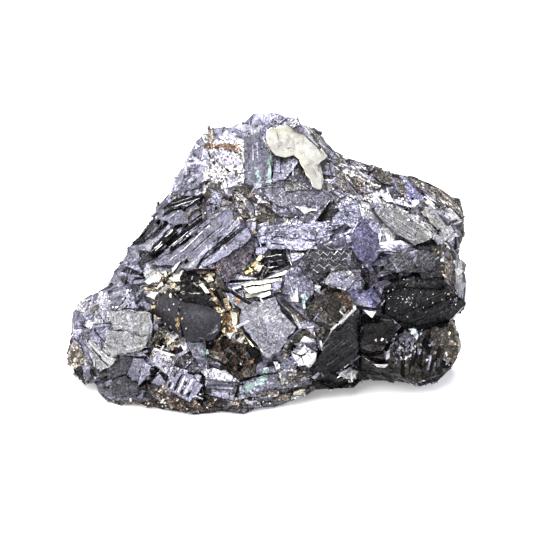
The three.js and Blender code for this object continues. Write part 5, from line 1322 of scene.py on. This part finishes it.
def galena_surface():
    """Metallic lead grey, with each face's tint, lines, sparkle and granular matrix."""
    material = bpy.data.materials.new("galena_surface")
    material.use_nodes = True
    tree = material.node_tree
    shader = tree.nodes["Principled BSDF"]
    tint = tree.nodes.new("ShaderNodeVertexColor")
    tint.layer_name = "tint"
    nature = tree.nodes.new("ShaderNodeVertexColor")
    nature.layer_name = "nature"
    parts = tree.nodes.new("ShaderNodeSeparateColor")
    tree.links.new(nature.outputs["Color"], parts.inputs[0])
    grain, gloss, lines = parts.outputs
    uv = tree.nodes.new("ShaderNodeUVMap")
    uv.uv_map = "cleavage"
    place = tree.nodes.new("ShaderNodeTexCoord").outputs["Object"]

    line = tree.nodes.new("ShaderNodeGroup")
    line.node_tree = cleavage_lines()
    tree.links.new(uv.outputs["UV"], line.inputs["Vector"])
    fine = tree.nodes.new("ShaderNodeGroup")
    fine.node_tree = micro_facets()
    fine.inputs["Size"].default_value = 0.0003
    tree.links.new(place, fine.inputs["Vector"])

    sparkle = math_node(tree, "POWER", fine.outputs["Shade"], 5.0)
    shade = math_node(tree, "ADD", 1.0, math_node(
        tree, "MULTIPLY", lines, math_node(tree, "MULTIPLY", line.outputs["Streak"], 1.5)))
    grit = span(tree, noise(tree, place, 4200.0, 2.0, 0.7), 0.3, 0.7, -0.5, 0.5)
    fleck = math_node(tree, "ADD", math_node(tree, "ADD", grit, span(
        tree, fine.outputs["Shade"], 0.0, 1.0, -0.45, 0.2)), math_node(tree, "MULTIPLY", sparkle, 1.3))
    shade = math_node(tree, "ADD", shade, math_node(
        tree, "MULTIPLY", math_node(tree, "MULTIPLY", grain, 1.5), fleck))
    crack = tree.nodes.new("ShaderNodeGroup")
    crack.node_tree = cracks()
    tree.links.new(place, crack.inputs["Vector"])
    shade = math_node(tree, "MULTIPLY", math_node(tree, "MAXIMUM", shade, 0.15),
                      math_node(tree, "MAXIMUM", crack.outputs["Whole"],
                                span(tree, grain, 0.05, 0.35, 0.75, 0.25)))
    scaled = tree.nodes.new("ShaderNodeVectorMath")
    scaled.operation = "SCALE"
    film = tree.nodes.new("ShaderNodeGroup")
    film.node_tree = tarnish_film()
    film.inputs["Amount"].default_value = 0.5
    tree.links.new(place, film.inputs["Vector"])
    tree.links.new(tint.outputs["Color"], film.inputs["Color"])
    tree.links.new(film.outputs["Color"], scaled.inputs[0])
    tree.links.new(shade, scaled.inputs["Scale"])
    tree.links.new(scaled.outputs[0], shader.inputs["Base Color"])

    tree.links.new(span(tree, grain, 0.55, 0.95, 0.85, 0.25), shader.inputs["Metallic"])
    shader.inputs["Specular IOR Level"].default_value = 0.25
    blur = span(tree, noise(tree, place, 900.0, 2.0), 0.3, 0.7, 1.0, 1.5)
    tree.links.new(math_node(tree, "MULTIPLY", gloss, blur, clamp=True), shader.inputs["Roughness"])

    swell = tree.nodes.new("ShaderNodeBump")
    swell.inputs["Distance"].default_value = 0.0007
    tree.links.new(span(tree, grain, 0.0, 0.4, 0.02, 0.7), swell.inputs["Strength"])
    tree.links.new(noise(tree, place, 260.0, 1.0, 0.4), swell.inputs["Height"])
    steps = tree.nodes.new("ShaderNodeBump")
    steps.inputs["Distance"].default_value = 0.00022
    tree.links.new(swell.outputs["Normal"], steps.inputs["Normal"])
    tree.links.new(line.outputs["Height"], steps.inputs["Height"])
    tree.links.new(math_node(tree, "MULTIPLY", lines, 0.9, clamp=True), steps.inputs["Strength"])
    crystals = tree.nodes.new("ShaderNodeBump")
    crystals.inputs["Distance"].default_value = 0.0003
    tree.links.new(fine.outputs["Height"], crystals.inputs["Height"])
    tree.links.new(span(tree, grain, 0.03, 0.6, 0.02, 0.9), crystals.inputs["Strength"])
    tree.links.new(steps.outputs["Normal"], crystals.inputs["Normal"])
    tree.links.new(crystals.outputs["Normal"], shader.inputs["Normal"])
    return material


# ------------------------------------------------------------------ the specimen
def new_piece(name, crystals):
    """An object made of gathered crystals."""
    piece = bpy.data.objects.new(name, crystals.mesh(name))
    bpy.context.collection.objects.link(piece)
    return piece


body = take_copy("galena", "specimen")
facet_frames = mark_faces(body.data, name_faces(body.data))
first_great = len(facet_frames)
show_side = ShowSide([body.data])
faces = Crystals(first_great)
for finish, tone, lift, lean, outline in GREAT_FACES:
    flare = SHARP_FLARE if finish in SHARP_FACES else BROKEN_FLARE
    show_side.slab(faces, finish, lift, outline, tone, lean, GREAT_DEPTH, GREAT_CHIPS, flare)
great = new_piece("great_faces", faces)
facet_frames = np.vstack([facet_frames, faces.frames])
name_regions(body.data)
cleave(body.data, facet_frames, first_great)
name_regions(body.data)
cleave(great.data, facet_frames, first_great)
for piece in (body, great):
    lift_plates(piece.data, first_great)
    refine(piece.data)
    chip(piece.data)

crystals = Crystals(len(facet_frames))
show_side = ShowSide([body.data, great.data])
for finish, lift, lean, outline in SHARDS:
    show_side.slab(crystals, finish, lift, outline, lean=lean, chips=SHARD_CHIPS)
show_side = ShowSide([body.data, great.data, crystals.mesh("splinters")])
for finish, width, points in RIDGES:
    show_side.line(crystals, finish, width, points)
for heap in HEAPS:
    show_side.heap(crystals, *heap)
scatter(body.data, facet_frames, crystals, 1.0)
scatter(great.data, facet_frames, crystals, GREAT_COVER)
small = new_piece("small_crystals", crystals)
facet_frames = np.vstack([facet_frames, crystals.frames])

surface = galena_surface()
everything = tree_of([body.data, great.data, small.data])
for piece in (body, great, small):
    bpy.ops.object.select_all(action="DESELECT")
    piece.select_set(True)
    bpy.context.view_layer.objects.active = piece
    bpy.ops.object.mode_set(mode="EDIT")
    bpy.ops.mesh.select_all(action="SELECT")
    bpy.ops.mesh.quads_convert_to_tris()
    bpy.ops.object.mode_set(mode="OBJECT")
    colour(piece.data, facet_frames, everything)
    piece.data.materials.clear()
    piece.data.materials.append(surface)
    bpy.ops.object.shade_flat()
    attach(piece, "root")
    print(piece.name, len(piece.data.polygons), "faces")
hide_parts("galena")

# ------------------------------------------------------------------ floor, light and camera
bpy.ops.mesh.primitive_plane_add(size=6.0, location=(0, 0, 0))
floor = bpy.context.object
floor.name = "floor"
paper = bpy.data.materials.new("pale_floor")
paper.use_nodes = True
sheet = paper.node_tree.nodes["Principled BSDF"].inputs
for label, value in (("Base Color", (0.96, 0.96, 0.96, 1)), ("Roughness", 0.9),
                     ("Emission Color", (1, 1, 1, 1)), ("Emission Strength", 0.3)):
    sheet[label].default_value = value
floor.data.materials.append(paper)
floor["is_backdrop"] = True

AIM = stand(-0.3, 29.15, 9)        # middle of the view, at the depth of the rim


def softbox(name, direction, distance, size, watts, tint):
    """A square studio light aimed at the middle of the specimen."""
    place = AIM + Vector(direction).normalized() * distance
    bpy.ops.object.light_add(type="AREA", location=place)
    lamp = bpy.context.object
    lamp.name = name
    lamp.data.size = size
    lamp.data.energy = watts
    lamp.data.color = tint
    lamp.rotation_euler = (AIM - place).to_track_quat("-Z", "Y").to_euler()


softbox("key_light", (-0.5, -0.75, 0.95), 0.6, 0.7, 10.3, (1.0, 0.99, 0.98))
softbox("top_light", (-0.1, 0.15, 1.0), 0.55, 0.5, 6.9, (0.93, 0.95, 1.0))
softbox("side_light", (1.0, -0.35, 0.6), 0.7, 0.25, 1.6, (0.95, 0.96, 1.0))

world = bpy.data.worlds.new("studio")
bpy.context.scene.world = world
world.use_nodes = True
sky = world.node_tree
backdrop = sky.nodes["Background"]
backdrop.inputs["Color"].default_value = (0.86, 0.88, 0.95, 1)
backdrop.inputs["Strength"].default_value = 0.33
white = sky.nodes.new("ShaderNodeBackground")
white.inputs["Color"].default_value = (1, 1, 1, 1)
white.inputs["Strength"].default_value = 1.0
path = sky.nodes.new("ShaderNodeLightPath")
blend = sky.nodes.new("ShaderNodeMixShader")
sky.links.new(path.outputs["Is Camera Ray"], blend.inputs[0])
sky.links.new(backdrop.outputs[0], blend.inputs[1])
sky.links.new(white.outputs[0], blend.inputs[2])
sky.links.new(blend.outputs[0], sky.nodes["World Output"].inputs["Surface"])
bpy.context.scene.view_settings.view_transform = "Standard"

CAMERA_REACH = 1.2                # camera to the middle of the show side, metres
FIELD = 0.1058                    # width of the view there, metres
SENSOR = 36.0                     # width of the camera's film, mm
bpy.ops.object.camera_add(location=AIM + VIEW_SIDE * CAMERA_REACH)
camera = bpy.context.object
camera.rotation_euler = (math.pi / 2 - SHOW_TILT, 0, 0)
camera.data.sensor_width = SENSOR
camera.data.lens = SENSOR * CAMERA_REACH / FIELD
camera.data.clip_end = 20.0
bpy.context.scene.camera = camera
